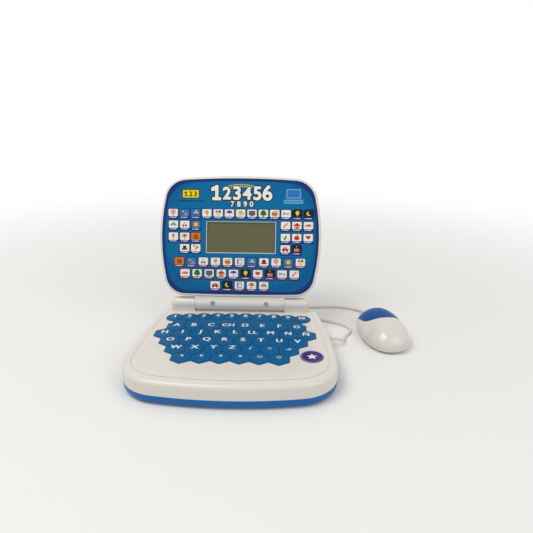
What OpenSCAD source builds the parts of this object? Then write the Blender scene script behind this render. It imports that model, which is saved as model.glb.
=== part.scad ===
// Toy laptop computer: a keypad base, a hinged lid with a small display, and a two-button mouse on a lead.
// Origin under the middle of the base, on the table. X right, Y to the back, Z up. Millimetres.

/* [Base] */
// Widest width of the base
base_w = 237; // [225:1:250]
// Depth of the base from front to back
base_d = 188; // [184:1:200]
// Height of the flat deck above the table
deck_h = 30; // [29:0.5:36]
// Height of the joint between the two base shells
base_split = 12; // [11:0.5:14]
// Wall thickness of the base shells
base_wall = 2; // [1.6:0.1:2.4]
// Thickness of the deck
deck_t = 2.7; // [2.4:0.1:3.2]
// Radius of the rounded front corners
front_corner = 46; // [36:1:50]
// Radius of the back corners
back_corner = 14; // [10:1:18]
// Distance of the crease line from the edge of the deck
crease_in = 9.5; // [8:0.5:12]

/* [Feet] */
// Diameter of a rubber foot
foot_d = 14; // [10:1:18]
// Height of a rubber foot
foot_h = 2.5; // [2:0.1:3.5]
// Depth of the pocket that a foot sits in
foot_pocket = 0.8; // [0.5:0.1:1]

/* [Keypad] */
// Distance between the middles of two letter keys
key_pitch = 21.5; // [20:0.1:22]
// Distance between the middles of two number keys
number_pitch = 18.4; // [17:0.1:19]
// Diameter of a number key
number_d = 22; // [20:0.5:23]
// Distance of the top letter row from the back of the base
letter_back = 60.2; // [58:0.2:62]
// Distance from the top letter row to the number row
number_gap = 27.7; // [25:0.1:28]
// Thickness of the printed keypad film
film_t = 0.5; // [0.3:0.1:0.6]
// Thickness of the spacer under the film
spacer_t = 0.3; // [0.2:0.1:0.4]
// Thickness of the circuit sheet under the spacer
circuit_t = 0.4; // [0.3:0.1:0.5]

/* [Badge] */
// Diameter of the round badge
badge_d = 26; // [20:1:30]
// Distance of the badge's middle from the letter keys beside it
badge_out = 15; // [14:0.5:18]
// Place of the badge behind the middle
badge_y = -35; // [-38:1:-34]

/* [Hinge] */
// Distance of the hinge axis from the back of the base
hinge_in = 10; // [9:0.5:11]
// Height of the hinge axis above the deck
hinge_rise = 9.5; // [9:0.1:10.5]
// Radius of the lid's barrel
barrel_r = 9; // [8.4:0.1:9.2]
// Length of the lid's barrel
barrel_l = 119; // [105:1:124]
// Radius of the base's hinge ears
ear_r = 8.4; // [7.6:0.1:8.8]
// Distance between the outer ends of the ears
ears_w = 186; // [180:1:190]
// Radius of a hinge pin
pin_r = 2.5; // [2:0.1:3]
// Radial running clearance of a hinge pin in its ear
pin_gap = 0.05; // [0.03:0.01:0.1]
// Gap between the barrel and an ear
barrel_gap = 0.5; // [0.3:0.1:0.8]
// Angle that the lid leans back from upright
lid_lean = 18; // [10:1:25]

/* [Lid] */
// Widest width of the lid
lid_w = 214.4; // [206:0.2:218]
// Height of the lid above the gap over the hinge axis
lid_d = 159.9; // [155:0.1:163]
// Distance from the hinge axis to the lid's lower edge
lid_start = 9.2; // [9:0.1:11]
// Depth of the front shell in front of the hinge axis
lid_front = 9.2; // [9:0.1:9.4]
// Depth of the back shell behind the hinge axis
lid_back = 6; // [5.5:0.1:7]
// Wall thickness of the lid shells
lid_wall = 2; // [1.6:0.1:2.4]
// Width of the white rim round the fascia
rim_w = 3.1; // [2.4:0.1:3.6]
// Height of the rim above the fascia's seat
rim_rise = 1; // [0.8:0.1:1.2]
// Thickness of the printed fascia
fascia_t = 0.5; // [0.3:0.1:0.6]

/* [Display] */
// Width of the display window
window_w = 90.8; // [80:0.2:94]
// Height of the display window
window_h = 40.4; // [36:0.2:43]
// Place of the window right of the lid's middle
window_x = 1; // [-2:0.5:3]
// Place of the window above the lid's middle
window_y = -0.8; // [-2:0.1:1]
// Thickness of the display glass
glass_t = 2.2; // [1.8:0.1:2.4]
// How far the glass reaches past the window on each side
glass_lap = 3.8; // [3:0.1:4.5]

/* [Battery bay] */
// Length of a battery cell
cell_l = 50.5; // [49.5:0.1:50.5]
// Diameter of a battery cell
cell_d = 14.5; // [13.5:0.1:14.5]
// Place of the bay's front wall behind the middle of the base
bay_front = 24; // [22:0.5:25]
// Inside length of the bay
bay_l = 60; // [59.5:0.1:61]
// Thickness of the battery door
door_t = 2; // [1.6:0.1:2]
// Clearance round the battery door
door_gap = 0.3; // [0.2:0.05:0.4]

/* [Speaker] */
// Diameter of the speaker
speaker_d = 40; // [36:1:42]
// Place of the speaker right of the middle
speaker_x = 56; // [54:0.5:60]
// Place of the speaker behind the middle
speaker_y = -46; // [-48:0.5:-44]

/* [Mouse] */
// Length of the mouse
mouse_l = 98; // [90:1:104]
// Width of the mouse
mouse_w = 62; // [56:1:66]
// Height of the mouse
mouse_h = 33; // [31:0.5:36]
// Wall thickness of the mouse shells
mouse_wall = 2; // [1.6:0.1:2.4]
// Clearance round the mouse buttons
button_gap = 0.4; // [0.3:0.05:0.5]
// Angle that a mouse button dips when pressed
button_press = 1.2; // [0.8:0.1:1.6]
// Place of the mouse right of the base's middle
mouse_x = 190; // [188:1:192]
// Place of the mouse behind the base's middle
mouse_y = 70; // [68:1:72]
// Angle that the mouse is turned to the left
mouse_turn = 8; // [6:1:10]

/* [Lead] */
// Diameter of the mouse lead
lead_d = 3.4; // [3:0.1:3.6]

/* [Hidden] */

// Colours
white_plastic = "#e6e2dc";
blue_plastic = "#1f74c4";
steel = "#b9bcc0";
board_green = "#2f6b3a";

// Overlap that keeps cuts and unions clean
eps = 0.02;
hinge_y = base_d / 2 - hinge_in;
letter_y = base_d / 2 - letter_back;
badge_x = 3.5 * key_pitch + badge_out;

// Steps along a small arc and along a long, nearly straight one
corner_steps = 8;
side_steps = 6;

// Points of an arc about c from angle a to angle b, without its last point
function arc(c, r, a, b, n) = [for (i = [0 : n - 1]) let (t = a + (b - a) * i / n) c + r * [cos(t), sin(t)]];
function bearing(v) = atan2(v[1], v[0]);
// The point at distance ra from a and rb from b, left of the way from a to b
function meet(a, ra, b, rb) = let (v = b - a, d = norm(v), x = (d * d + ra * ra - rb * rb) / (2 * d),
    h = sqrt(ra * ra - x * x)) a + (x * v + h * [-v[1], v[0]]) / d;

// A rounded four-sided outline with bowed sides, made of tangent arcs:
// w width, y0 front, y1 back, yw widest place, rs rf rb radii of side, front and back,
// cf cb radii of the front and back corners, g inset
function bowed(w, y0, y1, yw, rs, rf, rb, cf, cb, g) = let (
    side = [w / 2 - rs, yw], front = [0, y0 + rf], back = [0, y1 - rb],
    kf = meet(front, rf - cf, side, rs - cf), kb = meet(side, rs - cb, back, rb - cb),
    right = concat(arc(front, rf - g, -90, bearing(kf - front), side_steps),
        arc(kf, cf - g, bearing(kf - front), bearing(kf - side), corner_steps),
        arc(side, rs - g, bearing(kf - side), bearing(kb - side), side_steps),
        arc(kb, cb - g, bearing(kb - side), bearing(kb - back), corner_steps),
        arc(back, rb - g, bearing(kb - back), 90, side_steps)))
    concat(right, [[0, y1 - g]], [for (i = [len(right) - 1 : -1 : 1]) [-right[i][0], right[i][1]]]);

// Base outline: the sides taper a little to the back
base_side_r = 600;
base_front_r = 480;
base_back_r = 3000;
base_widest = -46;
function base_outline(g) = bowed(base_w, -base_d / 2, base_d / 2, base_widest, base_side_r, base_front_r,
    base_back_r, front_corner, back_corner, g);

// Lid outline in the lid's own plane: x across, y up from the hinge axis
lid_side_r = 250;
lid_top_r = 1090;
lid_low_r = 3000;
lid_low_corner = 28;
lid_top_corner = 31;
lid_middle = lid_start + lid_d / 2;
function lid_outline(g) = bowed(lid_w, lid_start, lid_start + lid_d, lid_middle, lid_side_r, lid_low_r,
    lid_top_r, lid_low_corner, lid_top_corner, g);

// The convex body through slices [inset, bottom, top]
module base_slices(list) hull() for (s = list)
    translate([0, 0, s[1]]) linear_extrude(s[2] - s[1]) polygon(base_outline(s[0]));
module lid_slices(list) hull() for (s = list)
    translate([0, 0, s[1]]) linear_extrude(s[2] - s[1]) polygon(lid_outline(s[0]));
function thin(g, z) = [g, z - eps, z];
// Slices of a rounded lower edge that starts at height z: w wide and h high, all inset by g
low_steps = 4;
function rounded(w, h, g, z) = [for (i = [0 : low_steps - 1]) let (a = 90 - 90 * i / low_steps)
    thin(g + w * (1 - cos(a)), z + h * (1 - sin(a)) + eps)];

module both_sides() { children(); mirror([1, 0, 0]) children(); }
module along_x() rotate([0, 90, 0]) children();

// Heights in the base
floor_t = base_wall;
base_bottom = foot_h - foot_pocket;
floor_top = base_bottom + floor_t;
low_round = 4.5;
low_h = 6;
roof = deck_h - deck_t;
shoulder = deck_h - 6;
deck_slope_in = min(crease_in + 7.5, back_corner - 0.5);
// The edge of the deck rolls over in an elliptical arc
roll_w = 6;
roll_h = 4.9;
roll_end = 78;
roll_steps = 5;
crease_w = 0.8;
crease_t = 0.5;
// How far the deck has fallen at the crease line
crease_drop = 0.5;

// The keypad stack lies in a pocket, and the film stands a little proud of the deck
film_proud = 0.2;
film_bottom = deck_h + film_proud - film_t;
spacer_bottom = film_bottom - spacer_t;
circuit_bottom = spacer_bottom - circuit_t;
pocket_gap = 0.15;
key_border = 1.4;
row_pitch = key_pitch * sqrt(3) / 2;
letter_rows = [8, 9, 8, 7, 6];
number_count = 10;
// How far the ends of a row of keys fall back from its middle
row_bow = 2.6;
number_bow = 4.7;
letter_reach = 4 * key_pitch;
number_reach = (number_count - 1) / 2 * number_pitch;
function letter_spot(row, k) = let (x = (k - (letter_rows[row] - 1) / 2) * key_pitch)
    [x, letter_y - row * row_pitch - row_bow * pow(x / letter_reach, 2)];
function number_spot(k) = let (x = k * number_pitch - number_reach)
    [x, letter_y + number_gap - number_bow * pow(x / number_reach, 2)];

// Outline of all the keys, grown by g
module keypad_outline(g) {
    for (row = [0 : len(letter_rows) - 1], k = [0 : letter_rows[row] - 1])
        translate(letter_spot(row, k)) rotate(30) circle(r = key_pitch / sqrt(3) + key_border + g, $fn = 6);
    for (k = [0 : number_count - 1]) translate(number_spot(k)) circle(d = number_d + 2 * g, $fn = 48);
    // Web that closes the gaps between the round keys and the top letter row
    translate([-number_reach, letter_y]) square([2 * number_reach, number_gap - number_bow]);
}

module keypad_film() color(blue_plastic)
    translate([0, 0, film_bottom]) linear_extrude(film_t) keypad_outline(0);
sheet_inset = 0.5;
module keypad_sheet(bottom, t) translate([0, 0, bottom]) linear_extrude(t) keypad_outline(-sheet_inset);
contact_hole_d = 9;
module letter_places() for (row = [0 : len(letter_rows) - 1], k = [0 : letter_rows[row] - 1])
    translate(letter_spot(row, k)) children();
module number_places() for (k = [0 : number_count - 1]) translate(number_spot(k)) children();
module keypad_spacer() color("#dcdcd6") difference() {
    keypad_sheet(spacer_bottom, spacer_t);
    translate([0, 0, spacer_bottom - eps]) linear_extrude(spacer_t + 2 * eps) {
        letter_places() circle(d = contact_hole_d, $fn = 24);
        number_places() circle(d = contact_hole_d, $fn = 24);
    }
}
module keypad_circuit() color("#c9b98a") keypad_sheet(circuit_bottom, circuit_t);

badge_t = 0.8;
badge_pocket = 0.6;
module corner_badge() color("#5a2a86") translate([badge_x, badge_y, deck_h - badge_pocket])
    cylinder(d = badge_d, h = badge_t, $fn = 64);

// Case screws: places of the posts, in the base
screw_r = 1.3;
screw_head_r = 2.8;
screw_head_t = 1.6;
post_r = 3.4;
// How far a post runs into the wall that carries it
post_sink = 0.6;
case_places = [[base_w / 2 - 18.5, -8], [86, hinge_y - 18], [46, 16 - base_d / 2]];
case_head_up = 4;
module case_places() both_sides() for (p = case_places) translate(p) children();
case_head_z = base_bottom + case_head_up;
case_screw_top = base_split + 9;
thread_gap = 0.05;
head_gap = 0.1;
driver_gap = 0.4;
module case_screws() color(steel) case_places() {
    translate([0, 0, case_head_z]) cylinder(r = screw_head_r, h = screw_head_t, $fn = 32);
    translate([0, 0, case_head_z + screw_head_t - eps])
        cylinder(r = screw_r, h = case_screw_top - case_head_z - screw_head_t, $fn = 24);
}

// Hinge ears
axis_z = deck_h + hinge_rise;
ear_inner = barrel_l / 2 + barrel_gap;
ear_bearing = 8;
ear_l = ears_w / 2 - ear_r - ear_inner;
ear_wall = 2;
// The foot under an ear is this much narrower on each side
ear_foot_in = 0.25;
ear_foot_r = ear_r - ear_foot_in;
module ear_outside() {
    translate([ear_inner, hinge_y, axis_z]) along_x() rotate_extrude($fn = 64)
        polygon(concat([[0, 0], [ear_r, 0]], arc([0, ear_l], ear_r, 0, 90, corner_steps), [[0, ear_l + ear_r]]));
    translate([0, hinge_y, roof]) linear_extrude(axis_z - roof) {
        translate([ear_inner, -ear_foot_r]) square([ear_l, 2 * ear_foot_r]);
        translate([ear_inner + ear_l, 0]) circle(r = ear_foot_r, $fn = 64);
    }
}
ear_hollow_start = ear_inner + ear_bearing;
ear_hollow_l = ear_l - ear_bearing;
ear_hollow_r = ear_r - ear_wall;
module ear_inside() {
    translate([ear_hollow_start, hinge_y, axis_z]) along_x()
        cylinder(r = ear_hollow_r, h = ear_hollow_l, $fn = 48);
    translate([ear_hollow_start, hinge_y - ear_hollow_r, roof - 1])
        cube([ear_hollow_l, 2 * ear_hollow_r, axis_z - roof + 1]);
    translate([ear_inner - 1, hinge_y, axis_z]) along_x()
        cylinder(r = pin_r + pin_gap, h = ear_bearing + 2, $fn = 48);
}

// Main board, on posts under the deck
board_w = 108;
board_d = 54;
board_t = 1.6;
board_x = -24;
board_y = -22;
board_z = 17;
board_hole = [board_w / 2 - 5, board_d / 2 - 5];
board_screw_r = 1.1;
board_post_r = 3;
module board_corners(hole) for (sx = [-1, 1], sy = [-1, 1]) translate([sx * hole[0], sy * hole[1]]) children();
module board_places() translate([board_x, board_y]) board_corners(board_hole) children();
board_top = board_z + board_t;

module base_top_shell() color(white_plastic) difference() {
    union() {
        difference() {
            base_slices(concat([[0, base_split, shoulder]],
                [for (i = [1 : roll_steps]) let (a = roll_end * i / roll_steps)
                    thin(roll_w * (1 - cos(a)), shoulder + roll_h * sin(a))],
                [thin(deck_slope_in, deck_h)]));
            base_slices([[base_wall, base_split - 1, shoulder - 0.5], thin(base_wall + 1.6, roof - 2.2),
                thin(crease_in, roof - 0.3), thin(deck_slope_in, roof)]);
        }
        both_sides() ear_outside();
        case_places() translate([0, 0, base_split])
            cylinder(r = post_r, h = roof - base_split + post_sink, $fn = 32);
        board_places() translate([0, 0, board_top])
            cylinder(r = board_post_r, h = roof - board_top + post_sink, $fn = 32);
    }
    both_sides() ear_inside();
    translate([0, 0, circuit_bottom]) linear_extrude(deck_h) keypad_outline(pocket_gap);
    translate([badge_x, badge_y, deck_h - badge_pocket])
        cylinder(d = badge_d + 2 * pocket_gap, h = 5, $fn = 64);
    // Crease line round the deck
    translate([0, 0, deck_h - crease_drop - crease_t]) linear_extrude(2) difference() {
        polygon(base_outline(crease_in));
        polygon(base_outline(crease_in + crease_w));
    }
    // Slot that lets the keypad's tail through the deck
    translate([-14, letter_y - 2 * row_pitch - 1, roof - 2]) cube([28, 2, deck_t + 1]);
    case_places() translate([0, 0, base_split - eps])
        cylinder(r = screw_r + thread_gap, h = case_screw_top - base_split + 1, $fn = 24);
    board_places() translate([0, 0, board_top - eps])
        cylinder(r = board_screw_r + thread_gap, h = 7, $fn = 24);
    lead_hole();
}

// Battery bay, moulded in the bottom shell
bay_wall = 1.6;
cell_count = 3;
cell_gap = 0.5;
bay_d = cell_count * cell_d + (cell_count + 1) * cell_gap;
bay_back = bay_front + bay_d;
cell_z = floor_top + 0.3 + cell_d / 2;
bay_roof = cell_z + cell_d / 2 + 0.4;
bay_x = -8;
door_tab_w = 14;
door_tab_d = 9;
door_screw_y = bay_back + 4.5;
tongue_x = 16;
tongue_w = 10;
tongue_out = 3;
tongue_in = 3;
tongue_t = 1.2;
tongue_z = floor_top + 0.2;
tongue_room = 4.5;

module door_plan(g) {
    translate([-bay_l / 2 - g, bay_front - g]) square([bay_l + 2 * g, bay_d + 2 * g]);
    translate([-door_tab_w / 2 - g, bay_back - 1]) square([door_tab_w + 2 * g, door_tab_d + 1 + g]);
}
boss_gap = 0.5;
door_boss_r = 4;
door_boss_h = 8;

// Lead outlet in the right side of the base, clamped in the joint between the two shells
lead_y = 42;
lead_z = base_split;
gland_r = 3.2;
gland_lip_r = 4.4;
gland_lip_gap = 1.2;
lead_side_x = base_w / 2 - base_side_r + sqrt(pow(base_side_r, 2) - pow(lead_y - base_widest, 2));
gland_gap = 0.05;
module lead_hole() translate([lead_side_x - 6, lead_y, lead_z]) along_x()
    cylinder(r = gland_r + gland_gap, h = 10, $fn = 48);

speaker_r = speaker_d / 2;
speaker_collar_t = 1.8;
speaker_collar_h = 5;
speaker_gap = 0.3;
grille_slots = 7;
grille_slot_w = 1.8;
grille_r = 14;
grille_pitch = 2 * grille_r / grille_slots;

foot_places = [[88, hinge_y - 38], [94, 54 - base_d / 2]];
module foot_places() both_sides() for (p = foot_places) translate(p) children();
module rubber_feet() color("#2b2b2d") foot_places() cylinder(d = foot_d, h = foot_h, $fn = 48);

module base_bottom_shell() color(blue_plastic) difference() {
    union() {
        difference() {
            base_slices(concat(rounded(low_round, low_h, 0, base_bottom), [[0, base_bottom + low_h, base_split]]));
            base_slices(concat(rounded(low_round, low_h, base_wall, floor_top),
                [[base_wall, floor_top + low_h, base_split + 1]]));
        }
        case_places() translate([0, 0, floor_top - post_sink])
            cylinder(r = post_r + 1.2, h = base_split - floor_top + post_sink, $fn = 32);
        translate([bay_x - bay_l / 2 - bay_wall, bay_front - bay_wall, floor_top - post_sink])
            cube([bay_l + 2 * bay_wall, bay_d + 2 * bay_wall, bay_roof + bay_wall - floor_top + post_sink]);
        translate([bay_x, door_screw_y, floor_top - post_sink])
            cylinder(r = door_boss_r, h = door_boss_h, $fn = 32);
        translate([speaker_x, speaker_y, floor_top - post_sink])
            cylinder(r = speaker_r + speaker_gap + speaker_collar_t, h = speaker_collar_h, $fn = 64);
        foot_places() translate([0, 0, floor_top - post_sink]) cylinder(d = foot_d + 3, h = 1.4, $fn = 48);
    }
    // Bay, door opening and room for the door's tongues
    translate([bay_x - bay_l / 2, bay_front, floor_top - 1]) cube([bay_l, bay_d, bay_roof - floor_top + 1]);
    translate([bay_x, 0, base_bottom - 1]) linear_extrude(floor_t + 1 + eps) door_plan(0);
    for (s = [-1, 1])
        translate([bay_x + s * tongue_x - tongue_w / 2 - door_gap, bay_front - tongue_out - 0.6, floor_top])
            cube([tongue_w + 2 * door_gap, tongue_out + 1.6, tongue_room]);
    translate([bay_x, door_screw_y, base_bottom - 1]) cylinder(r = screw_r + boss_gap, h = 9, $fn = 32);
    case_places() {
        translate([0, 0, base_bottom - 1]) cylinder(r = screw_head_r + driver_gap, h = case_head_up + 1, $fn = 32);
        translate([0, 0, case_head_z]) cylinder(r = screw_head_r + head_gap, h = screw_head_t, $fn = 32);
        translate([0, 0, case_head_z]) cylinder(r = screw_r + thread_gap, h = base_split, $fn = 24);
    }
    foot_places() translate([0, 0, base_bottom - 1]) cylinder(d = foot_d, h = foot_pocket + 1, $fn = 48);
    translate([speaker_x, speaker_y, floor_top]) cylinder(r = speaker_r + speaker_gap, h = 8, $fn = 64);
    for (k = [0 : grille_slots - 1]) {
        y = (k - (grille_slots - 1) / 2) * grille_pitch;
        half = sqrt(grille_r * grille_r - y * y) - 1;
        translate([speaker_x - half, speaker_y + y - grille_slot_w / 2, base_bottom - 1])
            cube([2 * half, grille_slot_w, floor_t + 2]);
    }
    lead_hole();
}

// Battery door: a plate with two tongues at the front edge and a screw tab at the back
door_screw_len = 6;
module battery_door() color(blue_plastic) translate([bay_x, 0, 0]) difference() {
    union() {
        translate([0, 0, base_bottom]) linear_extrude(door_t) door_plan(-door_gap);
        for (s = [-1, 1]) translate([s * tongue_x - tongue_w / 2, bay_front - tongue_out, tongue_z])
            cube([tongue_w, tongue_out + tongue_in, tongue_t]);
        for (s = [-1, 1])
            translate([s * tongue_x - tongue_w / 2, bay_front + door_gap, base_bottom + door_t - eps])
                cube([tongue_w, tongue_in - door_gap, tongue_z - base_bottom - door_t + 2 * eps]);
    }
    translate([0, door_screw_y, base_bottom - 1]) {
        cylinder(r = screw_head_r + head_gap, h = 1 + door_t / 2, $fn = 32);
        cylinder(r = screw_r + thread_gap, h = door_t + 2, $fn = 24);
    }
    // Finger grooves
    for (k = [-1 : 1]) translate([k * 7 - 1, bay_back - 14, base_bottom - 1]) cube([2, 9, 1.5]);
}
module battery_door_screw() color(steel) translate([bay_x, door_screw_y, base_bottom + 0.1]) {
    cylinder(r = screw_head_r, h = door_t / 2 - 0.1, $fn = 32);
    cylinder(r = screw_r, h = door_screw_len, $fn = 24);
}

// Cells lie across the bay, turned in alternate ways, each between a plate and a spring
plate_t = 0.5;
nub_h = 1.2;
nub_r = 2.7;
cell_body_l = cell_l - nub_h;
spring_l = bay_l - 2 * plate_t - cell_l;
function cell_y(i) = bay_front + cell_gap + cell_d / 2 + i * (cell_d + cell_gap);
function cell_way(i) = i % 2 == 0 ? 1 : -1;
module cell_places() for (i = [0 : cell_count - 1]) translate([bay_x, cell_y(i), cell_z])
    mirror([cell_way(i) > 0 ? 0 : 1, 0, 0]) children();
cell_start = -bay_l / 2 + plate_t + spring_l;
module battery_cells() color("#3c3f45") cell_places() translate([cell_start, 0, 0]) along_x() {
    cylinder(d = cell_d, h = cell_body_l, $fn = 48);
    cylinder(r = nub_r, h = cell_l, $fn = 32);
}
plate_w = 11;
module contact_plates() color(steel) cell_places() for (x = [-bay_l / 2, bay_l / 2 - plate_t])
    translate([x, -plate_w / 2, -plate_w / 2]) cube([plate_t, plate_w, plate_w]);
// Coil spring of a contact: one wire swept along a narrowing helix
wire_r = 0.4;
spring_turns = 4;
spring_steps = 12;
spring_wide = 4.6;
spring_narrow = 2.6;
spring_path = [for (i = [0 : spring_turns * spring_steps]) let (f = i / (spring_turns * spring_steps),
    r = spring_wide + (spring_narrow - spring_wide) * f, a = 360 * i / spring_steps)
    [wire_r + (spring_l - 2 * wire_r) * f, r * cos(a), r * sin(a)]];
module contact_springs() color(steel) cell_places() translate([-bay_l / 2 + plate_t, 0, 0])
    sweep(spring_path, wire_r, 6);

module main_board() color(board_green) translate([board_x, board_y, board_z]) difference() {
    translate([-board_w / 2, -board_d / 2, 0]) cube([board_w, board_d, board_t]);
    board_corners(board_hole) translate([0, 0, -1]) cylinder(r = board_screw_r + 0.3, h = board_t + 2, $fn = 24);
}
module board_screws() color(steel) board_places() {
    translate([0, 0, board_z - 1.2]) cylinder(r = 2.2, h = 1.2, $fn = 32);
    translate([0, 0, board_z - eps]) cylinder(r = board_screw_r, h = board_t + 5, $fn = 24);
}
// Sealed chip: a low black dome on the board
chip_r = 9;
chip_h = 2;
module dome(r, h) {
    ball = (r * r + h * h) / (2 * h);
    low = asin((ball - h) / ball);
    rotate_extrude($fn = 48) polygon(concat([[0, 0]], arc([0, h - ball], ball, low, 90, 6), [[0, h]]));
}
module board_chip() color("#1c1c1e") translate([board_x - 20, board_y + 4, board_top]) dome(chip_r, chip_h);
capacitor_r = 2.5;
capacitor_h = 6;
module board_parts() {
    color("#2a3f6e") for (x = [8, 16, 24]) translate([board_x + x, board_y + 12, board_top])
        cylinder(r = capacitor_r, h = capacitor_h, $fn = 32);
    color("#c8a86a") for (x = [6, 14, 22, 30]) translate([board_x + x, board_y - 8, board_top])
        cube([5, 2.4, 1.8]);
    color("#e9e6df") translate([board_x - 46, board_y + 14, board_top]) cube([14, 6, 5]);
}

// Speaker: facing down on the grille, in the bottom shell's collar
basket_t = 1;
basket_h = 9;
magnet_r = 9;
magnet_h = 5;
cone_t = 0.6;
module speaker_basket() color("#8d9094") translate([speaker_x, speaker_y, floor_top]) rotate_extrude($fn = 96)
    polygon([[speaker_r - 3, 0], [speaker_r, 0], [speaker_r, basket_t + 0.6], [speaker_r - 3, basket_t + 0.6],
        [magnet_r + 1, basket_h], [0, basket_h], [0, basket_h - basket_t], [magnet_r, basket_h - basket_t],
        [speaker_r - 4, basket_t], [speaker_r - 3, basket_t]]);
module speaker_cone() color("#26262a") translate([speaker_x, speaker_y, floor_top]) rotate_extrude($fn = 96)
    polygon([[0, 3.2], [5, 2.6], [speaker_r - 6, 0.4], [speaker_r - 3.2, 0.2], [speaker_r - 3.2, 0.2 + cone_t],
        [speaker_r - 6, 0.4 + cone_t], [5, 2.6 + cone_t], [0, 3.2 + cone_t]]);
module speaker_magnet() color("#55585c") translate([speaker_x, speaker_y, floor_top + basket_h])
    cylinder(r = magnet_r, h = magnet_h, $fn = 64);

// Tube along a path: a ring of n points at every path point, square to the way there
function way(p, i) = let (a = p[max(i - 1, 0)], b = p[min(i + 1, len(p) - 1)]) (b - a) / norm(b - a);
function side_of(v) = let (s = abs(v[2]) > 0.9 ? cross(v, [0, 1, 0]) : cross(v, [0, 0, 1])) s / norm(s);
function ring(p, i, r, n) = let (v = way(p, i), s = side_of(v), t = cross(s, v))
    [for (k = [0 : n - 1]) p[i] + r * (cos(360 * k / n) * s + sin(360 * k / n) * t)];
module sweep(p, r, n) {
    last = len(p) - 1;
    points = [for (i = [0 : last]) each ring(p, i, r, n)];
    faces = concat([[for (k = [0 : n - 1]) k]], [[for (k = [n - 1 : -1 : 0]) last * n + k]],
        [for (i = [0 : last - 1], k = [0 : n - 1]) let (a = i * n, j = (k + 1) % n) [a + j, a + k, a + n + k]],
        [for (i = [0 : last - 1], k = [0 : n - 1]) let (a = i * n, j = (k + 1) % n) [a + j, a + n + k, a + n + j]]);
    polyhedron(points, faces, convexity = 8);
}
// Smooth curve through the points: one added point half way along each stretch
function halfway(a, b, c, d) = (9 * (b + c) - a - d) / 16;
function smooth(p) = [for (i = [0 : len(p) - 1]) each i == len(p) - 1 ? [p[i]] :
    [p[i], halfway(p[max(i - 1, 0)], p[i], p[i + 1], p[min(i + 2, len(p) - 1)])]];

// Wires between base and display, through the hollow left pin
wire_bundle_r = 1;
wire_x = -ear_hollow_start - 7;
harness_meet_x = -ear_inner + barrel_gap / 2;
module base_harness() color("#b8322c") sweep(smooth([[board_x - 39, board_y + 17, board_top + 6],
    [board_x - 44, board_y + 24, board_top + 7], [-66, 22, board_top + 5], [wire_x - 1, 52, board_top + 4],
    [wire_x - 1, 72, board_top + 5], [wire_x - 1, hinge_y - 2, axis_z - 12], [wire_x - 1, hinge_y, axis_z - 6],
    [wire_x, hinge_y, axis_z - 1.2], [wire_x + 3, hinge_y, axis_z], [wire_x + 8, hinge_y, axis_z],
    [harness_meet_x, hinge_y, axis_z]]), wire_bundle_r, 8);

// Everything on the lid is drawn in the lid's own frame: x across, y up the lid, z out of its face
module on_lid() translate([0, hinge_y, axis_z]) rotate([90 - lid_lean, 0, 0]) children();

face_seat = lid_front - rim_rise;
panel_t = 2;
panel_back = face_seat - panel_t;
lid_floor = lid_wall - lid_back;
pin_block_l = 12;
barrel_hollow_r = barrel_r - 2;
hollow_l = barrel_l - 2 * pin_block_l;
neck_end = lid_start + lid_wall + 0.6;
neck_front = 7.6;
hinge_screw_x = 35.5;
hinge_head_z = 6.6;
lid_screw_places = [[84, 34], [80, 141]];
module lid_screw_places() both_sides() for (p = lid_screw_places) translate(p) children();
lid_post_r = 3;
lid_screw_r = 1.1;
lid_head_r = 2.6;
lid_head_t = 1;
screw_tip_gap = 0.4;
display_x = window_x;
display_y = lid_middle + window_y;
lcd_post = [60, 21];
lcd_post_r = 2.4;
lcd_screw_r = 0.9;
lcd_head_r = 2.1;
module at_display() translate([display_x, display_y, 0]) children();

module barrel(cut_r, l) along_x() cylinder(r = cut_r, h = l, center = true, $fn = 96);
module front_half() translate([-barrel_l, -2 * barrel_r, 0]) cube([2 * barrel_l, 4 * barrel_r, 2 * barrel_r]);
module back_half() mirror([0, 0, 1]) front_half();

module lid_front_shell() color(white_plastic) on_lid() difference() {
    union() {
        difference() {
            lid_slices([[0, 0, lid_front - 2.4], thin(0.3, lid_front - 1.2), thin(0.8, lid_front - 0.4),
                thin(1.6, lid_front)]);
            translate([0, 0, -1]) linear_extrude(panel_back + 1) polygon(lid_outline(lid_wall));
            translate([0, 0, face_seat]) linear_extrude(rim_rise + 1) polygon(lid_outline(rim_w));
        }
        intersection() { barrel(barrel_r, barrel_l); front_half(); }
        translate([-barrel_l / 2, 0, 0]) cube([barrel_l, neck_end, neck_front]);
        lid_screw_places() cylinder(r = lid_post_r, h = panel_back + 0.5, $fn = 32);
        at_display() board_corners(lcd_post) translate([0, 0, lcd_board_top])
            cylinder(r = lcd_post_r, h = panel_back + 0.5 - lcd_board_top, $fn = 32);
    }
    difference() {
        union() {
            barrel(barrel_hollow_r, hollow_l);
            translate([-hollow_l / 2, 0, -1]) cube([hollow_l, neck_end + 1, panel_back + 0.4]);
        }
        both_sides() translate([hinge_screw_x, 0, 0]) cylinder(r = post_r, h = barrel_r, $fn = 32);
    }
    barrel(pin_r, barrel_l + 2);
    both_sides() translate([hinge_screw_x, 0, 0]) {
        translate([0, 0, -1]) cylinder(r = screw_r + thread_gap, h = barrel_r, $fn = 24);
        translate([0, 0, hinge_head_z]) cylinder(r = screw_head_r + driver_gap, h = barrel_r, $fn = 32);
    }
    lid_screw_places() {
        translate([0, 0, -1]) cylinder(r = lid_screw_r + thread_gap, h = lid_front, $fn = 24);
        translate([0, 0, face_seat - lid_head_t]) cylinder(r = lid_head_r + head_gap, h = 3, $fn = 32);
    }
    at_display() {
        translate([-window_w / 2, -window_h / 2, 0]) cube([window_w, window_h, lid_front + 2]);
        board_corners(lcd_post) translate([0, 0, -1])
            cylinder(r = lcd_screw_r + thread_gap, h = panel_back + 0.4, $fn = 24);
    }
}

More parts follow.
